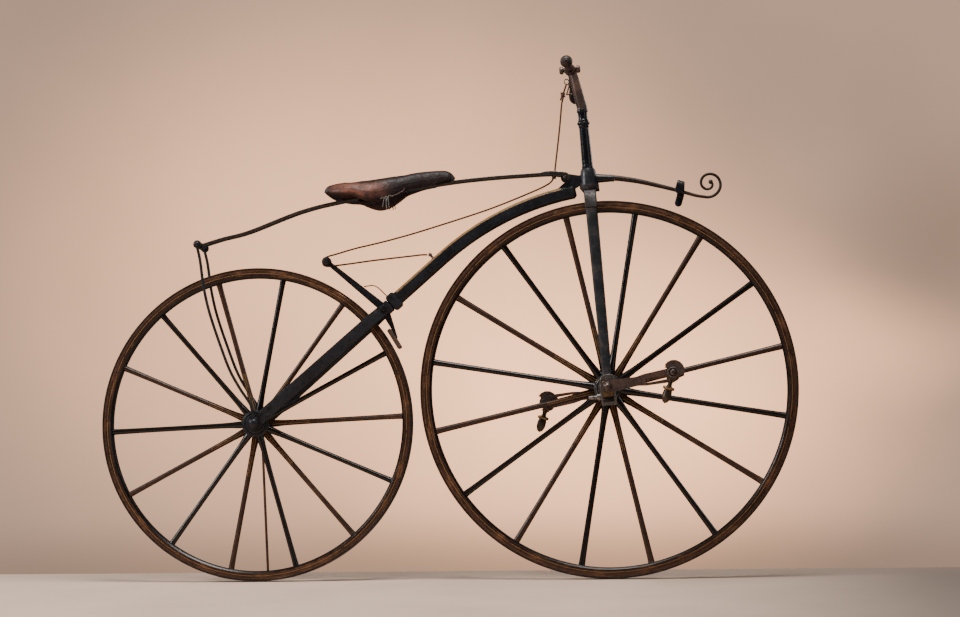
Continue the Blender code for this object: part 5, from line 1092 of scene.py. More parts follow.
def leaf_shells(lug, rear):
    """The leaf with its rolled eye, forked from a little behind the lug into two hooked tines."""
    whole = leaf_path()
    cut = int(np.count_nonzero(whole[:, 0] <= lug[0] - 0.0350))

    def swollen(line):
        """A middle line moved up, and its thickness shares: the lower face keeps its place while
        the leaf thickens to its hook, so the line moves by half of what is added."""
        share = np.interp(line[:, 0] - lug[0], (-0.062, -0.048, -0.012, 0.004), (1.0, 1.50, 1.60, 1.25))
        run = np.gradient(line, axis=0)
        run /= np.linalg.norm(run, axis=1)[:, None]
        raised = line + np.stack((-run[:, 1], run[:, 0]), -1) * ((share - 1) * LEAF_THICK / 2)[:, None]
        return raised, np.stack((share, np.ones(len(share))), -1)

    leaf, swell = swollen(even(whole[:cut], 170)[1:])
    shells = [carried(in_plane(leaf), bar_section(LEAF_THICK / 2, LEAF_WIDE / 2, 0.0011), swell)]
    radius = PIN_RADIUS + SEAT_GAP + LEAF_THICK / 2
    tine = np.vstack((whole[cut - 2:], arc(lug, radius, QUARTER, -QUARTER / 2, 16)))
    tine = tine[np.concatenate(((True,), np.linalg.norm(np.diff(tine, axis=0), axis=1) > 0.0004))]
    tine, swell = swollen(flowing(even(tine, 26), 3))
    half = (LEAF_WIDE - LEAF_SLOT) / 2
    for side in (-1.0, 1.0):
        across = side * (LEAF_SLOT / 2 + half / 2)
        shells.append(carried(in_plane(tine, across), bar_section(LEAF_THICK / 2, half / 2, 0.0010), swell))
    shells.append(moved(washer(0.0085, 0.0050, LEAF_WIDE / 2, 0.0006, 2, 48), shift(rear) @ ALONG_Y))
    return shells


def strut_shells(rear, side):
    """A bent rod with its two eyes: its side view follows the strut's shares from the spring's
    rear pin down to the axle, while it moves out past the fork's arm."""
    beside = ARM_SPREAD + ARM_HALF_THICK + SEAT_GAP
    top, rod = REAR_PIN_HALF, beside + STRUT_RADIUS
    across = REAR_CENTRE[0] - rear[0]
    down = rear[2] - REAR_CENTRE[2]
    knots = [
        (rear[0] + across * over, side * (top + (rod - top) * min(drop * 1.3, 1.0)), rear[2] - down * drop)
        for over, drop in STRUT_OUTLINE
    ]
    knots[0] = (rear[0], side * top, rear[2] - 0.0085)
    knots.append((REAR_CENTRE[0], side * rod, REAR_CENTRE[2] + 0.0131))
    shells = [carried(even(flowing(knots, 8), 90), circle(STRUT_RADIUS, 20))]
    for centre, spread, outer, bore in (
        (rear, top, 0.01035, 0.0051), (REAR_CENTRE, beside + EYE_HALF, 0.01485, 0.0096),
    ):
        eye = washer(outer, bore, EYE_HALF, 0.0009, 3, 40)
        shells.append(moved(eye, shift(centre + np.array((0.0, side * spread, 0.0))) @ ALONG_Y))
    return shells


def build_spring():
    """The long leaf with its rolled eye and forked hook, its pins and the two bent rods."""
    lug = by_steering(-0.0587, 0.5374)[[0, 2]]
    rear = np.array((LEAF_REAR[0], 0.0, LEAF_REAR[1]))
    shells = leaf_shells(lug, rear)
    make("long_leaf", together(*shells), "Spring steel", "frame", "seat_spring")

    half = [(PIN_RADIUS, REAR_PIN_HALF), (PIN_RADIUS, 0.0575), (0.0056, 0.0580)]
    half += [(0.0062, 0.0590), (0.0068, 0.0600)]
    half += dome(0.0068, 0.0602, 0.0046)
    make(
        "ball_ended_pin", turned(both_ends(half), 32, 0.0003), "Black iron", "frame",
        "spring_rear_pin", STANCE @ shift(rear) @ ALONG_Y,
    )
    pin = both_ends([(PIN_RADIUS, 0.0), (PIN_RADIUS, 0.0200), (0.0040, 0.0218), (0.0, 0.0220)])
    make(
        "hook_pin", turned(pin, 32, 0.0003), "Bare iron", "frame", "spring_front_pin",
        STANCE @ shift((lug[0], 0.0, lug[1])) @ ALONG_Y,
    )
    for side_name, side in SIDES:
        make(
            f"bent_strut_{side_name}", together(*strut_shells(rear, side)), "Black iron", "frame",
            f"strut_{side_name}",
        )


# Saddle


def saddle_rings():
    """The saddle's cross-sections. Each is half a crowned outline, mirrored: a smooth line from
    the crown over the shoulder to the skirt's rolled edge and in under it to the leaf. Width,
    crown and edge heights run along the saddle in smooth curves through their shares, and both
    tips close on a bow: sections shrink by (1 - (1 - d/r)^2.4)^(1/2.4)."""
    stations = flowing(SADDLE_STATIONS, 14)
    share = np.linspace(0.0, 1.0, 170)
    along = 0.30 * (0.5 - 0.5 * np.cos(share * math.pi)) + 0.70 * share
    tip = 0.004 * np.linspace(0.0, 1.0, 7) ** 2
    along = np.unique(np.concatenate((tip[:-1], along[1:-1], 1 - tip[:-1][::-1])))
    width, top, edge = (np.interp(along, stations[:, 0], stations[:, k]) for k in (1, 2, 3))
    forward = SADDLE_REAR + SADDLE_LENGTH * along
    half = SADDLE_HALF * width
    crown = SADDLE_LOW + SADDLE_DEEP * top
    rim = SADDLE_LOW + SADDLE_DEEP * edge
    seat = np.maximum(leaf_top(forward) + 0.0006, rim)
    narrow = np.clip((along - 0.84) / 0.08, 0.0, 1.0)
    rim = rim + (seat - rim) * narrow
    inner = 0.0180 + (half * 0.60 - 0.0180) * narrow
    inner = np.minimum(inner, half * 0.66)
    shape = flowing(SADDLE_SECTION, 5)
    out = half[:, None] * np.concatenate((shape[:, 0], (0.945, 0.905, 0.870, 0.865)))
    rise = np.concatenate((shape[:, 1], (-0.035, -0.020, 0.030, 0.085)))
    up = rim[:, None] + (crown - rim)[:, None] * rise
    last = np.stack((out[:, -1], up[:, -1]), -1)
    feet = np.stack((inner, seat), -1)
    roof = np.linspace(0.0, 1.0, 7)[1:, None]
    inside = last[:, None] + (feet - last)[:, None] * roof
    out = np.concatenate((out, inside[..., 0], np.stack((inner * 0.5, inner * 0.0), -1)), 1)
    up = np.concatenate((up, inside[..., 1], np.stack((seat, seat), -1)), 1)
    bow = 2.4
    reach = np.minimum(forward - forward[0], forward[-1] - forward)
    closing = ((1 - (1 - np.clip(reach / 0.018, 0.0, 1.0)) ** bow) ** (1 / bow))[:, None]
    closing = 0.02 + 0.98 * closing
    middle = ((crown + seat) / 2)[:, None]
    return forward, out * closing, middle + (up - middle) * closing


def dents(forward, across, deepest):
    """How far the leather has sunk at a place: long shallow waves by sines of two directions,
    and a few creases, each a narrow bell across its own line."""
    sunk = 0.0010 * np.sin(forward * 47.0 + 1.3 * np.sin(across * 61.0))
    sunk += 0.0007 * np.sin(forward * 113.0 + across * 74.0)
    for place, lean, depth in (
        (-0.6020, 0.35, 1.0), (-0.5690, -0.22, 0.8), (-0.5290, 0.18, 0.7), (-0.4800, -0.12, 0.5),
    ):
        line = forward - place - lean * np.abs(across)
        sunk += depth * deepest * np.exp(-((line / 0.0022) ** 2)) * (0.4 + 0.6 * np.abs(across) / 0.1)
    return sunk


def build_hide(forward, out, up, crown_count):
    """The saddle's leather: both halves in closed rings, with a number at each point for how far
    its surface is rubbed, most on the sides towards the back."""
    right = np.stack((np.repeat(forward[:, None], out.shape[1], 1), -out, up), -1)
    left = np.stack((right[..., 0], out, up), -1)
    rings = np.concatenate((right, left[:, -2:0:-1]), 1)
    shell = stacked(rings, lengths(rings[:, 0]))
    piece = make("saddle_hide", shell, "Saddle leather", "frame", "saddle_leather", sharp=60.0)
    columns = np.clip(np.arange(out.shape[1]) / (crown_count - 1), 0.0, 1.0)
    columns = np.concatenate((columns, columns[-2:0:-1]))
    low = np.clip((columns - 0.40) / 0.16, 0.0, 1.0) * np.clip((0.93 - columns) / 0.12, 0.15, 1.0)
    back = np.exp(-(((forward + 0.6180) / 0.0640) ** 4))
    rub = np.append((back[:, None] * low).ravel(), (0.0, 0.0)) + 0.04
    layer = piece.data.attributes.new("rubbed", "FLOAT", "POINT")
    layer.data.foreach_set("value", rub.astype(np.float32))


def build_stitches(forward, out, up):
    """Short tubes in a row, each bent over the hide a little above the rolled edge."""
    row = 21
    stitches = []
    for side in (-1.0, 1.0):
        line = np.stack((forward, side * (out[:, row] + 0.0002), up[:, row]), -1)
        line = even(line[22:-16], 96)
        for start, end in zip(line[:-1:2], line[1::2]):
            middle = (start + end) / 2 + np.array((0.0, side * 0.0005, 0.0))
            path = flowing((start, middle, end), 3)
            stitches.append(carried(path, circle(0.00055, 8), side=(0.0, 0.0, 1.0)))
    make("saddle_stitches", together(*stitches), "Waxed thread", "frame")


def build_flap():
    """A sling of leather under the leaf, deepest in its middle, in squared-oval sections."""
    share = np.linspace(0.0, 1.0, 60)
    place = -0.6250 + 0.1120 * share
    top = leaf_top(place) - LEAF_THICK - 0.0012
    deep = 0.0185 * np.sin(math.pi * share ** 0.85) ** 0.7 + 0.0012
    wide = 0.0165 * (0.55 + 0.45 * np.sin(math.pi * share) ** 0.6)
    x, y = squared_oval(36, 0.65)
    ripple = 1.0 + 0.03 * np.sin(share * 31.0)[:, None] * np.abs(x)
    rings = np.stack((
        np.repeat(place[:, None], 36, 1), wide[:, None] * x * ripple,
        (top - deep / 2)[:, None] + deep[:, None] / 2 * y,
    ), -1)
    shell = stacked(rings, place - place[0])
    flap = make("laced_flap", shell, "Sling leather", "frame", "saddle_flap")


def build_lacing(forward, out, up):
    """Thongs and the cut edge, which follow the hide's own grid: a place along it, a column down
    its side and a lift off it, read between the four nearest points by shares of each."""
    def on_hide(spots, side):
        where, column, lift = np.array(spots).T
        row = np.interp(where, forward, np.arange(len(forward)))
        low_row, low_column = row.astype(int), column.astype(int)
        a, b = row - low_row, column - low_column
        spot = [
            (1 - a) * (1 - b) * grid[low_row, low_column] + a * (1 - b) * grid[low_row + 1, low_column]
            + (1 - a) * b * grid[low_row, low_column + 1] + a * b * grid[low_row + 1, low_column + 1]
            for grid in (out, up)
        ]
        return np.stack((where, side * (spot[0] + lift), spot[1]), -1)

    drops = np.linspace(0.0, 1.0, 6)[:, None]
    thongs, edges = [], []
    for side in (-1.0, 1.0):
        for place, lean, fall in (
            (-0.5500, -0.0045, 0.0230), (-0.5460, 0.0015, 0.0290), (-0.5415, 0.0030, 0.0270),
            (-0.5440, -0.0020, 0.0200),
        ):
            top_end = on_hide([(place, 27.5, 0.0018)], side)[0]
            fall *= 1.0 if side < 0 else 0.45
            line = top_end + drops * (lean, 0.0, -fall) + drops * (1 - drops) * (0.0, side * 0.0050, 0.0)
            thongs.append(carried(line, circle(0.0012, 10)))
        for start, end in ((-0.5580, -0.5500), (-0.5500, -0.5420), (-0.5420, -0.5340)):
            line = [(start, 27.8, 0.0010), ((start + end) / 2, 26.2, 0.0014), (end, 27.8, 0.0010)]
            thongs.append(carried(flowing(on_hide(line, side), 5), circle(0.0011, 10)))
        edge = on_hide([
            (-0.5430, 27.8, 0.0005), (-0.5320, 28.6, 0.0005), (-0.5200, 29.2, 0.0005),
            (-0.5080, 29.4, 0.0005), (-0.5035, 28.0, 0.0006), (-0.5025, 25.0, 0.0006),
        ], side)
        edges.append(carried(flowing(edge, 7), circle(0.0010, 10)))
    make("thong_lacing", together(*thongs), "Pale thong", "frame")
    make("cut_leather_edge", together(*edges), "Raw leather", "frame")


def build_saddle(sizes):
    """The saddle's leather with its rolled edge, its stitching, the sling of leather under the
    leaf, the thongs that lace it and the leather's cut edge."""
    forward, out, up = saddle_rings()
    crown_count = len(flowing(SADDLE_SECTION, 5))
    weight = np.zeros_like(out)
    weight[:, :crown_count] = np.clip(1.6 - np.linspace(0.0, 1.5, crown_count), 0.0, 1.0)
    index = np.arange(len(forward))
    ends = np.clip(np.minimum(index, index[::-1]) / 8.0, 0.0, 1.0)
    sunk = dents(forward[:, None], out, sizes.crease_depth) * weight * ends[:, None]
    up = up - np.maximum(sunk, 0.0)
    build_hide(forward, out, up, crown_count)
    build_stitches(forward, out, up)
    build_flap()
    build_lacing(forward, out, up)


# Brake


def cord_paths():
    """The route of the brake cord: its short run from the neck's eye, and its long run down to
    the leaf, under it to the lever's wheel, round that and back to the stud."""
    above = by_steering(KNOT_BACK, KNOT_HEIGHT + 2 * CORD_RADIUS)
    top = by_steering(-0.0389, 0.7623)
    head = np.vstack((top, (top + above) / 2, above, by_steering(KNOT_BACK, KNOT_HEIGHT)))
    beside = 0.0050 + 0.0055 / 2 + SEAT_GAP
    run = [by_steering(KNOT_BACK, KNOT_HEIGHT - 2 * CORD_RADIUS)] + [(x, 0.0, z) for x, z in UPPER_CORD]
    down = np.vstack((by_steering(KNOT_BACK, 0.7417), flowing(run, 3)))
    around = [(x, beside * side, z) for x, z, side in LOWER_CORD]
    groove = 0.0097 + CORD_RADIUS + SEAT_GAP
    back = in_plane(arc(CORD_WHEEL, groove, math.radians(104.0), math.radians(276.0), 6), beside)
    eye = along_spine(STUD_PLACE, BACKBONE_DEEP + SEAT_GAP + 0.0110)
    home = (eye[0] - 0.0050 - CORD_RADIUS, 0.0, eye[2])
    ending = [(x, beside * side, z) for x, z, side in RETURN_CORD] + [home]
    rest = flowing(np.vstack((down[-1], around, back, ending)), 2)
    return head, np.vstack((down, rest[1:]))


def laid_cord(path, lay):
    """A rope of three strands: at every step a three-lobed section, its radius
    R (0.93 + 0.07 cos 3a), turned further by the lay, so that the lobes wind round."""
    step = 0.0007
    count = int(lengths(path)[-1] / step)
    path = even(flowing(even(path, max(8, len(path))), 4), count)
    angle = angles(18)
    radius = CORD_RADIUS * (0.93 + 0.07 * np.cos(3 * angle))
    section = np.stack((radius * np.cos(angle), radius * np.sin(angle)), -1)
    return carried(path, section, twist=lengths(path) * 2 * math.pi / lay)


def build_brake(sizes):
    """Lever, pivot bolt, shoe, return wire, guide, stud and the laid cord with its knot."""
    eased("brake_arm", "brake_lever", "Black iron", "frame", 0.0008, 2)
    pivot = along_spine(0.4320, 0.0030)
    reach = ARM_SPREAD * ARM_SHOULDER_SHARE + ARM_HALF_THICK + BOLT_STANDOFF + SEAT_GAP
    bolt = [
        (0.0045, 0.0), (0.0045, reach), (0.0080, reach), (0.0080, reach + 0.0030), (0.0066, reach + 0.0045),
        (0.0, reach + 0.0045),
    ]
    shells = [turned(both_ends(bolt), 24, 0.0004)]
    head = moved(bolt_head(0.0062, 0.0022), shift((0.0, 0.0, reach + 0.0022)))
    shells += [about_face(head, side) for side in (1.0, -1.0)]
    make(
        "pivot_bolt", together(*shells), "Black iron", "frame", "brake_pivot",
        STANCE @ shift(pivot) @ ALONG_Y,
    )
    eased("spoon_shoe", "brake_shoe", "Brown iron", "frame", 0.0014, 3)

    knob = np.array(CORD_WHEEL)
    arm = pivot[[0, 2]] - knob
    along = arm / np.linalg.norm(arm)
    out = np.array((-along[1], along[0]))
    clear = WIRE_RADIUS + SEAT_GAP
    start = knob + arm * 0.60 + out * ((0.0110 + 0.0100 * 0.60) / 2 + clear)
    end = along_spine(0.4500 + 0.0075, BACKBONE_DEEP + 0.0050 + clear)[[0, 2]]
    middle = (start + end) / 2 + np.array((0.0, 0.0130))
    wire = carried(flowing(in_plane((start, middle, end)), 16), circle(WIRE_RADIUS, 14))
    make("return_spring_wire", wire, "Bare iron", "frame", "brake_return_wire")

    bottom = leaf_top(GUIDE_PLACE) - LEAF_THICK - SEAT_GAP * 2
    ring = hooped(closed_rounded((
        (0.0060, 0.0), (0.0048, -0.0032), (0.0060, -0.0065), (0.0039, -0.0065), (0.0039, 0.0),
    ), 0.0006, 3), 40)
    spot = shift((GUIDE_PLACE - CORD_RADIUS, 0.0, bottom - SEAT_GAP))
    make("cord_guide_ring", ring, "Brown iron", "frame", "cord_guide", STANCE @ spot)
    stud = (
        (0.0, 0.0), (0.0042, 0.0), (0.0042, 0.0012), (0.0030, 0.0018), (0.0030, 0.0066), (0.0046, 0.0086),
        (0.0050, 0.0110), (0.0046, 0.0134), (0.0026, 0.0154), (0.0, 0.0160),
    )
    foot = shift(along_spine(STUD_PLACE, BACKBONE_DEEP + SEAT_GAP)) @ turn("Y", -BACKBONE_ANGLE)
    make(
        "cord_stud_head", turned(stud, 28, 0.0004), "Bare iron", "frame", "cord_stud",
        STANCE @ foot,
    )
    build_cord(sizes.rope_lay)


def build_cord(lay):
    """The laid cord in its two runs, and its knot behind the neck: three coils, a loose end, and
    the tie up to a small ring."""
    head, whole = cord_paths()
    make("laid_cord", laid_cord(whole, lay), "Brown cord", "frame", "brake_cord", sharp=80.0)
    make(
        "laid_cord_head", laid_cord(head, lay), "Brown cord", "steering_fork", "brake_cord_top",
        sharp=80.0,
    )
    coil = hooped(circle(0.0022, 14) + (0.0040, 0.0), 30)
    coils = [
        moved(coil, STEERING @ shift((KNOT_BACK, 0.0, up)) @ turn("Y", lean) @ turn("X", 0.25))
        for up, lean in ((0.7455, 0.35), (0.7490, -0.20), (0.7520, 0.30))
    ]
    for path in (
        (
            (-0.0452, -0.0042, 0.7475), (-0.0475, -0.0050, 0.7440), (-0.0500, -0.0048, 0.7390),
            (-0.0518, -0.0044, 0.7340),
        ),
        ((-0.0425, 0.0, 0.7535), (-0.0395, 0.0, 0.7600), (-0.0352, 0.0, 0.7700), (-0.0330, 0.0, 0.7752)),
    ):
        coils.append(laid_cord(at(STEERING, path), lay))
    make("cord_knot", together(*coils), "Brown cord", "steering_fork", sharp=80.0)
    ring = hooped(circle(0.0013, 12) + (0.0066, 0.0), 36)
    ring = moved(ring, STEERING @ shift((-0.0322, 0.0, 0.7805)) @ turn("Z", 0.5) @ turn("X", QUARTER))
    make("cord_ring", ring, "Bare iron", "steering_fork")


# Leg rest and prop rod


def crosspiece_shell(knots, across):
    """The leg rest's cross-bar: a flat strap over the rod with both ends bent down and rounded.

    Half width at distance s from an end of radius r: r sqrt(1 - (1 - s / r)^2), then r."""
    run = flowing(knots, 3)
    past_root = REST_ROD_THIN
    share = (run[:, 0] - run[0, 0] + past_root) / across
    place = int(np.argmin(np.abs(share - REST_BAR_PLACE)))
    slope = math.atan2(run[place + 1, 2] - run[place - 1, 2], run[place + 1, 0] - run[place - 1, 0])
    rod = REST_ROD_THICK + (REST_ROD_THIN - REST_ROD_THICK) * REST_BAR_PLACE
    seat = rod + SEAT_GAP + REST_BAR_HALF_THICK
    middle = run[place] + seat * np.array((-math.sin(slope), 0.0, math.cos(slope)))
    half, corner, drop, end = 0.1290, 0.0090, 0.0310, 0.0092
    line = np.vstack(((0.0, 0.0), arc((half - corner, -corner), corner, QUARTER, 0.0, 8), (half, -drop)))
    line = np.vstack((line[:0:-1] * (-1.0, 1.0), line))
    total = lengths(line)[-1]
    tip = end * (1.0 - np.cos(np.linspace(0.15, QUARTER, 8)))
    stops = np.concatenate((tip, np.linspace(0.0125, total - 0.0125, 100), total - tip[::-1]))
    line = np.stack([np.interp(stops, lengths(line), line[:, k]) for k in (0, 1)], -1)
    reach = np.clip(np.minimum(stops, total - stops) / end, 0.0, 1.0)
    thick = np.full(len(stops), REST_BAR_HALF_THICK)
    scale = np.stack((thick, end * np.sqrt(1.0 - (1.0 - reach) ** 2)), -1)
    path = np.stack((np.zeros(len(stops)), line[:, 0], line[:, 1]), -1)
    strap = carried(path, bar_section(1.0, 1.0, 0.35, 4), scale, (1.0, 0.0, 0.0))
    return moved(strap, shift(middle) @ turn("Y", -slope))


def build_leg_rest():
    """The leg rest's rod: a smooth run up to a spiral whose radius shrinks evenly with its angle,
    the rod thinning on the way, with a ball at its tip. Its cross-bar lies over the run."""
    start = by_steering(0.0, 0.5300) + np.array((0.0640 + SEAT_GAP, 0.0, 0.0))
    steps = 160
    share = np.linspace(0.0, 1.0, steps)
    angle = math.radians(-106.0) + math.radians(506.0) * share
    wide, narrow = 0.0350, 0.0065
    radius = wide + (narrow - wide) * share
    x, z = CURL_CENTRE
    curl = np.stack((x + radius * np.cos(angle), np.zeros(steps), z + radius * np.sin(angle)), -1)
    across, drop = curl[0][0] - start[0], curl[0][2] - start[2]
    knots = [start + np.array((across * a, 0.0, drop * d)) for a, d in (
        (0.0, 0.0), (0.015, 0.0), (0.09, 0.04), (0.285, 0.19), (0.506, 0.43), (0.725, 0.69), (0.889, 0.91),
    )]
    run = flowing([*knots, curl[0]], 10)[:-1]
    path = np.vstack((run, curl))
    size = np.interp(lengths(path), (0.0, lengths(path)[len(run)]), (REST_ROD_THICK, REST_ROD_THIN))
    size[len(run):] = np.linspace(REST_ROD_THIN, 0.0031, steps)
    ball = 0.0058
    outline = [(ball * math.sin(a), -ball * math.cos(a)) for a in np.linspace(0.0, math.pi, 15)[1:-1]]
    ball = turned([(0.0, -ball), *outline, (0.0, ball)], 28, 0.0)
    rod = together(carried(path, circle(1.0, 20), size), moved(ball, shift(path[-1])))
    make("curled_rod", rod, "Tyre iron", "frame", "leg_rest_rod")
    crosspiece = crosspiece_shell([*knots[1:], curl[0]], across)
    make("leg_rest_crosspiece", crosspiece, "Black iron", "frame", "leg_rest_strap")


def build_prop():
    """The prop rod, from under the rear axle's left end out and down to the floor."""
    splay = math.radians(14.0)
    reach = 0.0125 + SEAT_GAP
    y = 0.0640 + reach * math.sin(splay)
    z = REAR_CENTRE[2] - reach * math.cos(splay)
    height = z * math.cos(LEAN) - (y - TYRE_WIDTH / 2) * math.sin(LEAN)
    upright = splay - LEAN
    length = (height - PROP_RADIUS * math.sin(upright)) / math.cos(upright)
    rod = [
        (0.0, 0.0), (0.0031, 0.0), (PROP_RADIUS, 0.0012), (PROP_RADIUS, length * 0.5),
        (PROP_RADIUS, length - 0.0005), (0.0030, length), (0.0, length),
    ]
    place = STANCE @ shift((REAR_CENTRE[0], y, z)) @ turn("X", math.pi + splay)
    make("thin_prop", turned(rod, 24, 0.0003), "Brown iron", "frame", "prop_rod", place)


# Finishes of this machine


def build_finishes(tones):
    """Every finish of the machine, its main tones taken from the panel and the others given here."""
    def shade(colour, share):
        return tuple(share * c for c in colour)

    black, brown, bare, wood = tones.black_iron, tones.brown_iron, tones.bare_iron, tones.brown_wood
    for name, dark, light, rust, edges, metal, gloss, wear, rusting in (
        (
            "Black iron", shade(black, 0.45), shade(black, 1.6), (0.038, 0.022, 0.015),
            (0.100, 0.096, 0.100), 0.0, (0.28, 0.44), 0.30, 0.80,
        ),
        (
            "Glossy black iron", shade(black, 0.45), shade(black, 1.3), (0.038, 0.022, 0.015),
            (0.100, 0.096, 0.100), 0.0, (0.15, 0.27), 0.25, 0.84,
        ),
        (
            "Worn black iron", shade(black, 0.6), shade(black, 2.2), (0.060, 0.042, 0.033),
            (0.150, 0.130, 0.118), 0.0, (0.52, 0.68), 0.55, 0.60,
        ),
        (
            "Hub iron", shade(black, 1.0), (0.090, 0.074, 0.066), (0.075, 0.045, 0.032),
            (0.420, 0.380, 0.350), 0.30, (0.30, 0.46), 0.90, 0.70,
        ),
        (
            "Brown iron", shade(brown, 0.40), brown, (0.110, 0.050, 0.028),
            (0.270, 0.210, 0.185), 0.25, (0.32, 0.52), 0.60, 0.58,
        ),
        (
            "Bare iron", shade(bare, 0.40), bare, (0.085, 0.045, 0.030),
            (0.380, 0.340, 0.310), 0.70, (0.28, 0.48), 0.60, 0.64,
        ),
        (
            "Tyre iron", (0.0055, 0.0042, 0.0040), (0.019, 0.013, 0.011), (0.045, 0.022, 0.013),
            (0.130, 0.100, 0.085), 0.30, (0.34, 0.56), 0.50, 0.60,
        ),
        (
            "Spring steel", (0.0070, 0.0066, 0.0066), (0.026, 0.023, 0.021), (0.036, 0.022, 0.016),
            (0.230, 0.205, 0.190), 0.35, (0.28, 0.46), 0.80, 0.66,
        ),
        (
            "Brass", tones.brass, shade(tones.brass, 0.45), (0.070, 0.042, 0.022),
            (0.580, 0.420, 0.230), 0.85, (0.26, 0.46), 0.60, 0.62,
        ),
        (
            "Dark brass", (0.050, 0.034, 0.027), (0.022, 0.016, 0.014), (0.060, 0.036, 0.020),
            (0.380, 0.270, 0.160), 0.30, (0.28, 0.46), 0.60, 0.62,
        ),
    ):
        iron(name, dark, light, rust, edges, metal, gloss, wear, rusting)
    for name, dark, light, rubbed, gloss, fine, wear, scuffs in (
        (
            "Felloe wood", shade(wood, 0.10), shade(wood, 0.80), (0.210, 0.090, 0.040),
            (0.28, 0.50), 620.0, 0.45, 0.58,
        ),
        (
            "Black spoke wood", (0.0018, 0.0018, 0.0022), (0.0056, 0.0048, 0.0048), (0.030, 0.018, 0.012),
            (0.20, 0.34), 900.0, 0.2, 0.78,
        ),
        (
            "Brown spoke wood", shade(wood, 0.09), shade(wood, 0.70), (0.150, 0.078, 0.042),
            (0.28, 0.50), 900.0, 0.4, 0.66,
        ),
        (
            "Grip wood", (0.014, 0.009, 0.0075), (0.060, 0.038, 0.028), (0.150, 0.100, 0.070),
            (0.42, 0.60), 700.0, 0.3, 0.68,
        ),
    ):
        timber(name, dark, light, rubbed, gloss, fine, wear, scuffs)
    gilding("Ochre line", tones.ochre, shade(wood, 0.30))
    # The backbone's strip: a painted line and a painted highlight of its top face in one.
    gilding("Ochre stripe", tones.ochre, (0.030, 0.018, 0.012))
    hide("Saddle leather", tones.leather, tones.rubbed_leather, (0.40, 0.60))
    hide("Sling leather", tones.leather, (0.036, 0.014, 0.013), (0.44, 0.62))
    fibre("Brown cord", tones.cord, shade(tones.cord, 1.5))
    fibre("Waxed thread", (0.035, 0.028, 0.024), (0.130, 0.110, 0.092))
    fibre("Pale thong", (0.090, 0.085, 0.076), (0.340, 0.325, 0.290))
    fibre("Raw leather", (0.140, 0.070, 0.055), (0.330, 0.200, 0.170))


# Stage


def sight(px, py):
    """The direction from the camera through a place in the picture, as a unit vector: ahead,
    plus the two offsets from the picture's middle over the focal length in pixels."""
    x, y = (px - RENDER_SIZE[0] / 2) / FOCAL_PIXELS, (RENDER_SIZE[1] / 2 - py) / FOCAL_PIXELS
    pose = STANCE @ camera_pose()
    ray = pose[:3, 0] * x + pose[:3, 1] * y - pose[:3, 2]
    return tuple(ray / np.linalg.norm(ray))


def camera_pose():
    """The camera's frame: yaw, pitch and roll worked out as three axes by cross products."""
    ahead = np.array((
        -math.sin(CAMERA_YAW) * math.cos(CAMERA_PITCH), math.cos(CAMERA_YAW) * math.cos(CAMERA_PITCH),
        math.sin(CAMERA_PITCH),
    ))
    right = np.array((math.cos(CAMERA_YAW), math.sin(CAMERA_YAW), 0.0))
    upward = np.cross(right, ahead)
    c, s = math.cos(CAMERA_ROLL), math.sin(CAMERA_ROLL)
    return basis(CAMERA_PLACE, right * c + upward * s, -right * s + upward * c, -ahead)


def build_camera():
    """The camera at the photograph's place, leaned with the machine that it was fitted to."""
    data = bpy.data.cameras.new("Camera")
    data.lens = CAMERA_LENS
    data.sensor_width = 36.0
    data.clip_end = 60.0
    camera = bpy.data.objects.new("Camera", data)
    bpy.context.scene.collection.objects.link(camera)
    camera.matrix_world = as_matrix(STANCE @ camera_pose())
    bpy.context.scene.camera = camera


def build_floor(tone):
    """A pale floor, a slab that ends with a rounded edge a little way behind the wheels, with painted shade:
    darker towards the right and along the back edge.
    """
    floor = Recipe("Studio floor")
    space = floor.space()
    mottle = floor.noise(space, 2.2, 4.0, 0.55)
    split = floor.node("ShaderNodeSeparateXYZ", {"Vector": space}).outputs

    def dimmed(shares):
        return tuple(c * k for c, k in zip(tone, shares))

    colour = floor.blend(floor.ramp(mottle, 0.35, 0.68), tone, dimmed((0.88, 0.88, 0.88)))
    # Painted shade: the floor's colour falls to about a quarter of its tone towards the right.
    colour = floor.blend(floor.ramp(split["X"], 0.35, 1.35), colour, dimmed((0.22, 0.23, 0.24)))
    # Painted shade: a darker strip along the back edge.
    far = floor.ramp(split["Y"], -0.10, 0.24, 0.0, 0.42)
    colour = floor.blend(far, colour, dimmed((0.42, 0.40, 0.40)))
    floor.end(colour, 0.6, floor.bump(floor.noise(space, 220.0, 4.0, 0.6), 0.0002))
    back, front, side, under = 0.245, -9.0, 7.0, -0.16
    edge = np.array((
        (front, 0.0), (back - 0.012, 0.0), (back - 0.004, -0.002), (back, -0.010), (back, under),
        (front, under),
    ))
    x = np.array((-side, side))
    rings = np.stack((
        np.repeat(x[:, None], len(edge), 1), np.tile(edge[:, 0], (2, 1)), np.tile(edge[:, 1], (2, 1)),
    ), -1)
    slab = bpy.data.objects.new("floor_slab", as_mesh("floor_slab", stacked(rings, x)))
    bpy.context.scene.collection.objects.link(slab)
    slab.data.materials.append(floor.material)


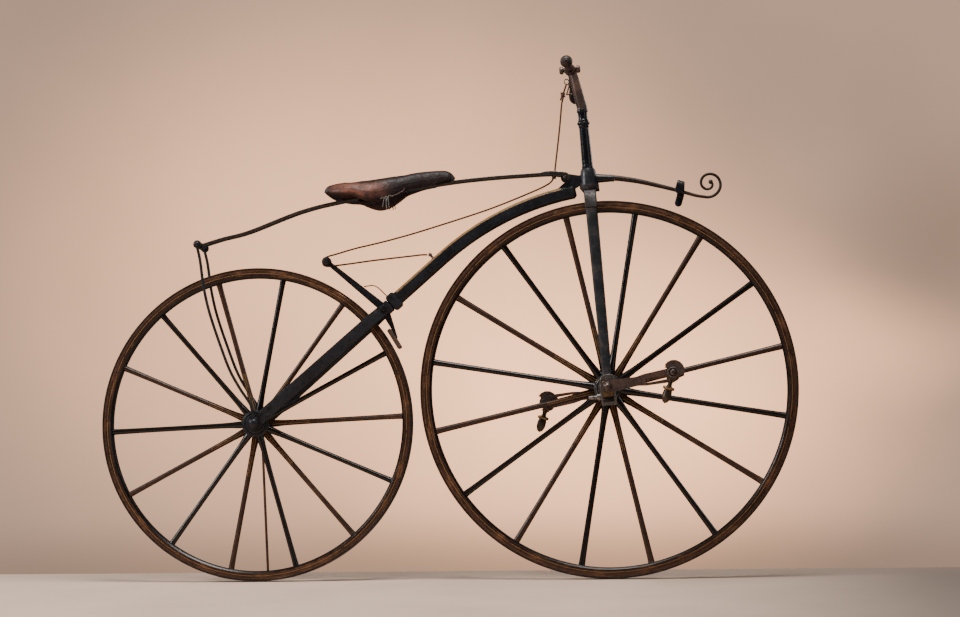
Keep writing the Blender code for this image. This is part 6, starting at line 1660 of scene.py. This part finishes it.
def build_backdrop(tones):
    """The backdrop as seen, soft glows on a plain tone with a darker foot, each glow fading from
    its middle by the length of the scaled way to it. Everything else sees an even grey."""
    world = bpy.data.worlds.new("Studio")
    bpy.context.scene.world = world
    world.use_nodes = True
    tree = world.node_tree
    studio = Recipe("Studio", tree)
    ray = studio.node("ShaderNodeTexCoord").outputs["Generated"]
    colour = tuple(tones.backdrop)
    for (px, py), (wide, high), glow, most in (
        ((390, 290), (520, 380), (2.05, 1.07, 0.58), 1.0), ((620, 400), (380, 230), (3.20, 1.56, 0.80), 0.85),
        ((850, 345), (190, 85), (2.00, 1.05, 0.57), 0.50), ((960, 230), (150, 140), (0.40, 0.26, 0.185), 0.8),
        ((770, 80), (210, 130), (0.53, 0.345, 0.245), 0.6),
    ):
        offset = studio.node("ShaderNodeVectorMath", {0: ray, 1: sight(px, py)}, operation="SUBTRACT")
        scales = (FOCAL_PIXELS / wide, 0.0, FOCAL_PIXELS / high)
        scaled = studio.node("ShaderNodeVectorMath", {0: offset.outputs[0], 1: scales}, operation="MULTIPLY")
        reach = studio.node("ShaderNodeVectorMath", {0: scaled.outputs[0]}, operation="LENGTH")
        colour = studio.blend(studio.ramp(reach.outputs["Value"], 1.0, 0.0, 0.0, most), colour, glow)
    height = studio.node("ShaderNodeSeparateXYZ", {"Vector": ray}).outputs["Z"]
    low = studio.ramp(height, sight(480, 571)[2], sight(480, 500)[2], 0.70, 1.0)
    cloud = studio.ramp(studio.noise(ray, 9.0, 3.0, 0.5), 0.3, 0.7, 0.94, 1.05)
    seen = studio.node("ShaderNodeLightPath").outputs["Is Camera Ray"]
    ground = tree.nodes["Background"]
    studio.put(studio.blend(seen, (0.060, 0.057, 0.058), colour), ground.inputs["Color"])
    bright = studio.times(studio.times(low, cloud), tones.backdrop_strength)
    share = studio.node("ShaderNodeMix", {"Factor": seen, "A": 1.0, "B": bright})
    studio.put(share.outputs[0], ground.inputs["Strength"])


def build_lights(share):
    """Round softboxes, each turned to the machine's middle."""
    target = np.array((0.0, 0.0, 0.55))
    for name, place, size, power, colour in (
        ("Key softbox", (-4.2, -1.6, 2.7), 1.8, 165.0, (1.0, 0.97, 0.94)),
        ("Fill softbox", (4.2, -2.8, 1.6), 2.4, 20.0, (1.0, 0.95, 0.90)),
        ("Top softbox", (0.2, -0.9, 4.3), 2.0, 190.0, (1.0, 0.98, 0.96)),
        ("Left edge softbox", (-2.6, 2.4, 1.8), 1.6, 12.0, (0.88, 0.94, 1.0)),
        ("Right edge softbox", (3.0, 2.2, 2.0), 1.6, 26.0, (0.98, 0.98, 1.0)),
    ):
        light = bpy.data.lights.new(name, "AREA")
        light.shape = "DISK"
        light.size = size
        light.energy = power * share
        light.color = colour
        lamp = bpy.data.objects.new(name, light)
        bpy.context.scene.collection.objects.link(lamp)
        away = np.array(place) - target
        away /= np.linalg.norm(away)
        flat = np.cross((0.0, 0.0, 1.0), away)
        flat /= np.linalg.norm(flat)
        lamp.matrix_world = as_matrix(basis(place, flat, np.cross(away, flat), away))


# Add-on: settings, operators and panel


def colour_property(name, description, default):
    """A colour of the panel."""
    return bpy.props.FloatVectorProperty(
        name=name, description=description, default=default, subtype="COLOR", size=3, min=0.0, max=1.0,
    )


class VelocipedeTones(bpy.types.PropertyGroup):
    """Colours of the machine and its stage."""

    black_iron: colour_property("Black iron", "Blue-black paint on the forgings", (0.0075, 0.0092, 0.0130))
    brown_iron: colour_property("Brown iron", "Patina of the cranks, neck and pedals", (0.096, 0.056, 0.047))
    bare_iron: colour_property("Bare iron", "Rubbed iron of axle and pins", (0.130, 0.095, 0.080))
    brass: colour_property("Brass", "Bearing blocks and rings of the weights", (0.300, 0.190, 0.090))
    brown_wood: colour_property("Brown wood", "Varnished wood of felloes and spokes", (0.082, 0.034, 0.020))
    leather: colour_property("Leather", "Dark part of the saddle", (0.0085, 0.0056, 0.0062))
    rubbed_leather: colour_property("Rubbed leather", "Rubbed part of the saddle", (0.210, 0.078, 0.050))
    cord: colour_property("Cord", "Brake cord", (0.055, 0.022, 0.014))
    ochre: colour_property("Ochre", "Painted lines", (0.280, 0.145, 0.042))
    floor: colour_property("Floor", "Studio floor", (0.780, 0.560, 0.430))
    backdrop: colour_property("Backdrop", "Plain part of the backdrop", (0.560, 0.365, 0.262))
    backdrop_strength: bpy.props.FloatProperty(
        name="Backdrop strength", description="Brightness of the backdrop", default=1.0, min=0.0, max=10.0,
    )
    light_power: bpy.props.FloatProperty(
        name="Light power", description="Share of the softboxes' power", default=1.0, min=0.0, max=10.0,
    )


class VelocipedeSizes(bpy.types.PropertyGroup):
    """Fine sizes of the trim."""

    line_width: bpy.props.FloatProperty(
        name="Line width", description="Painted line round each felloe", default=0.0013, min=0.0, max=0.004,
        unit="LENGTH", precision=4,
    )
    rope_lay: bpy.props.FloatProperty(
        name="Lay of the cord", description="Length of one full twist of the brake cord", default=0.0125,
        min=0.004, max=0.05, unit="LENGTH", precision=4,
    )
    crease_depth: bpy.props.FloatProperty(
        name="Crease depth", description="Depth of the saddle's deepest crease", default=0.0016, min=0.0,
        max=0.004, unit="LENGTH", precision=4,
    )


class VELOCIPEDE_OT_finishes(bpy.types.Operator):
    """Make every finish of the machine."""

    bl_idname = "velocipede.finishes"
    bl_label = "Finishes"
    bl_options = {"REGISTER", "UNDO"}

    def execute(self, context):
        build_finishes(context.scene.velocipede_tones)
        return {"FINISHED"}


class VELOCIPEDE_OT_camera(bpy.types.Operator):
    """Place the camera where the picture was taken from."""

    bl_idname = "velocipede.camera"
    bl_label = "Camera"
    bl_options = {"REGISTER", "UNDO"}

    def execute(self, context):
        build_camera()
        return {"FINISHED"}


class VELOCIPEDE_OT_brake(bpy.types.Operator):
    """Make the brake lever, its shoe, pins and wire, and the laid cord."""

    bl_idname = "velocipede.brake"
    bl_label = "Brake and cord"
    bl_options = {"REGISTER", "UNDO"}

    def execute(self, context):
        build_brake(context.scene.velocipede_sizes)
        return {"FINISHED"}


class VELOCIPEDE_OT_wheels(bpy.types.Operator):
    """Make both wheels with their tyres, felloes, spokes and hubs."""

    bl_idname = "velocipede.wheels"
    bl_label = "Wheels"
    bl_options = {"REGISTER", "UNDO"}

    def execute(self, context):
        build_wheels(context.scene.velocipede_sizes)
        return {"FINISHED"}


class VELOCIPEDE_OT_drive(bpy.types.Operator):
    """Make the front axle, cranks, pedals and their weights."""

    bl_idname = "velocipede.drive"
    bl_label = "Axle and pedals"
    bl_options = {"REGISTER", "UNDO"}

    def execute(self, context):
        build_drive()
        return {"FINISHED"}


class VELOCIPEDE_OT_fork(bpy.types.Operator):
    """Make the crown, blades and bearings of the front fork."""

    bl_idname = "velocipede.fork"
    bl_label = "Front fork"
    bl_options = {"REGISTER", "UNDO"}

    def execute(self, context):
        build_fork()
        return {"FINISHED"}


class VELOCIPEDE_OT_steering(bpy.types.Operator):
    """Make the column, neck, bar and grips."""

    bl_idname = "velocipede.steering"
    bl_label = "Steering"
    bl_options = {"REGISTER", "UNDO"}

    def execute(self, context):
        build_steering()
        return {"FINISHED"}


class VELOCIPEDE_OT_backbone(bpy.types.Operator):
    """Make the backbone, its lines, collar, rear arms and axle."""

    bl_idname = "velocipede.backbone"
    bl_label = "Backbone"
    bl_options = {"REGISTER", "UNDO"}

    def execute(self, context):
        build_backbone()
        return {"FINISHED"}


class VELOCIPEDE_OT_spring(bpy.types.Operator):
    """Make the leaf, its pins and the two bent rods."""

    bl_idname = "velocipede.spring"
    bl_label = "Seat spring"
    bl_options = {"REGISTER", "UNDO"}

    def execute(self, context):
        build_spring()
        return {"FINISHED"}


class VELOCIPEDE_OT_saddle(bpy.types.Operator):
    """Make the saddle's hide, stitching, sling and lacing."""

    bl_idname = "velocipede.saddle"
    bl_label = "Saddle"
    bl_options = {"REGISTER", "UNDO"}

    def execute(self, context):
        build_saddle(context.scene.velocipede_sizes)
        return {"FINISHED"}


class VELOCIPEDE_OT_rests(bpy.types.Operator):
    """Make the curled leg rest, its crosspiece and the thin prop."""

    bl_idname = "velocipede.rests"
    bl_label = "Leg rest and prop"
    bl_options = {"REGISTER", "UNDO"}

    def execute(self, context):
        build_leg_rest()
        build_prop()
        return {"FINISHED"}


class VELOCIPEDE_OT_stage(bpy.types.Operator):
    """Make the floor, the backdrop and the soft lights."""

    bl_idname = "velocipede.stage"
    bl_label = "Stage"
    bl_options = {"REGISTER", "UNDO"}

    def execute(self, context):
        tones = context.scene.velocipede_tones
        build_floor(tones.floor)
        build_backdrop(tones)
        build_lights(tones.light_power)
        return {"FINISHED"}


OPERATORS = (
    VELOCIPEDE_OT_finishes, VELOCIPEDE_OT_camera, VELOCIPEDE_OT_brake,
    VELOCIPEDE_OT_wheels, VELOCIPEDE_OT_drive, VELOCIPEDE_OT_fork,
    VELOCIPEDE_OT_steering, VELOCIPEDE_OT_backbone, VELOCIPEDE_OT_spring,
    VELOCIPEDE_OT_saddle, VELOCIPEDE_OT_rests, VELOCIPEDE_OT_stage,
)


class VELOCIPEDE_PT_panel(bpy.types.Panel):
    """Sizes, colours and a button for each group of pieces."""

    bl_label = "Velocipede"
    bl_idname = "VELOCIPEDE_PT_panel"
    bl_space_type = "VIEW_3D"
    bl_region_type = "UI"
    bl_category = "Velocipede"

    def draw(self, context):
        for group in (context.scene.velocipede_sizes, context.scene.velocipede_tones):
            column = self.layout.column()
            for key in group.__annotations__:
                column.prop(group, key)
        for made in OPERATORS:
            self.layout.operator(made.bl_idname)


CLASSES = (VelocipedeTones, VelocipedeSizes, *OPERATORS, VELOCIPEDE_PT_panel)


def register():
    for made in CLASSES:
        bpy.utils.register_class(made)
    bpy.types.Scene.velocipede_tones = bpy.props.PointerProperty(type=VelocipedeTones)
    bpy.types.Scene.velocipede_sizes = bpy.props.PointerProperty(type=VelocipedeSizes)


def unregister():
    del bpy.types.Scene.velocipede_sizes
    del bpy.types.Scene.velocipede_tones
    for made in reversed(CLASSES):
        bpy.utils.unregister_class(made)


def main():
    """Register the classes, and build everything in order."""
    register()
    for made in OPERATORS:
        group, key = made.bl_idname.split(".")
        getattr(getattr(bpy.ops, group), key)()


if __name__ == "__main__":
    main()
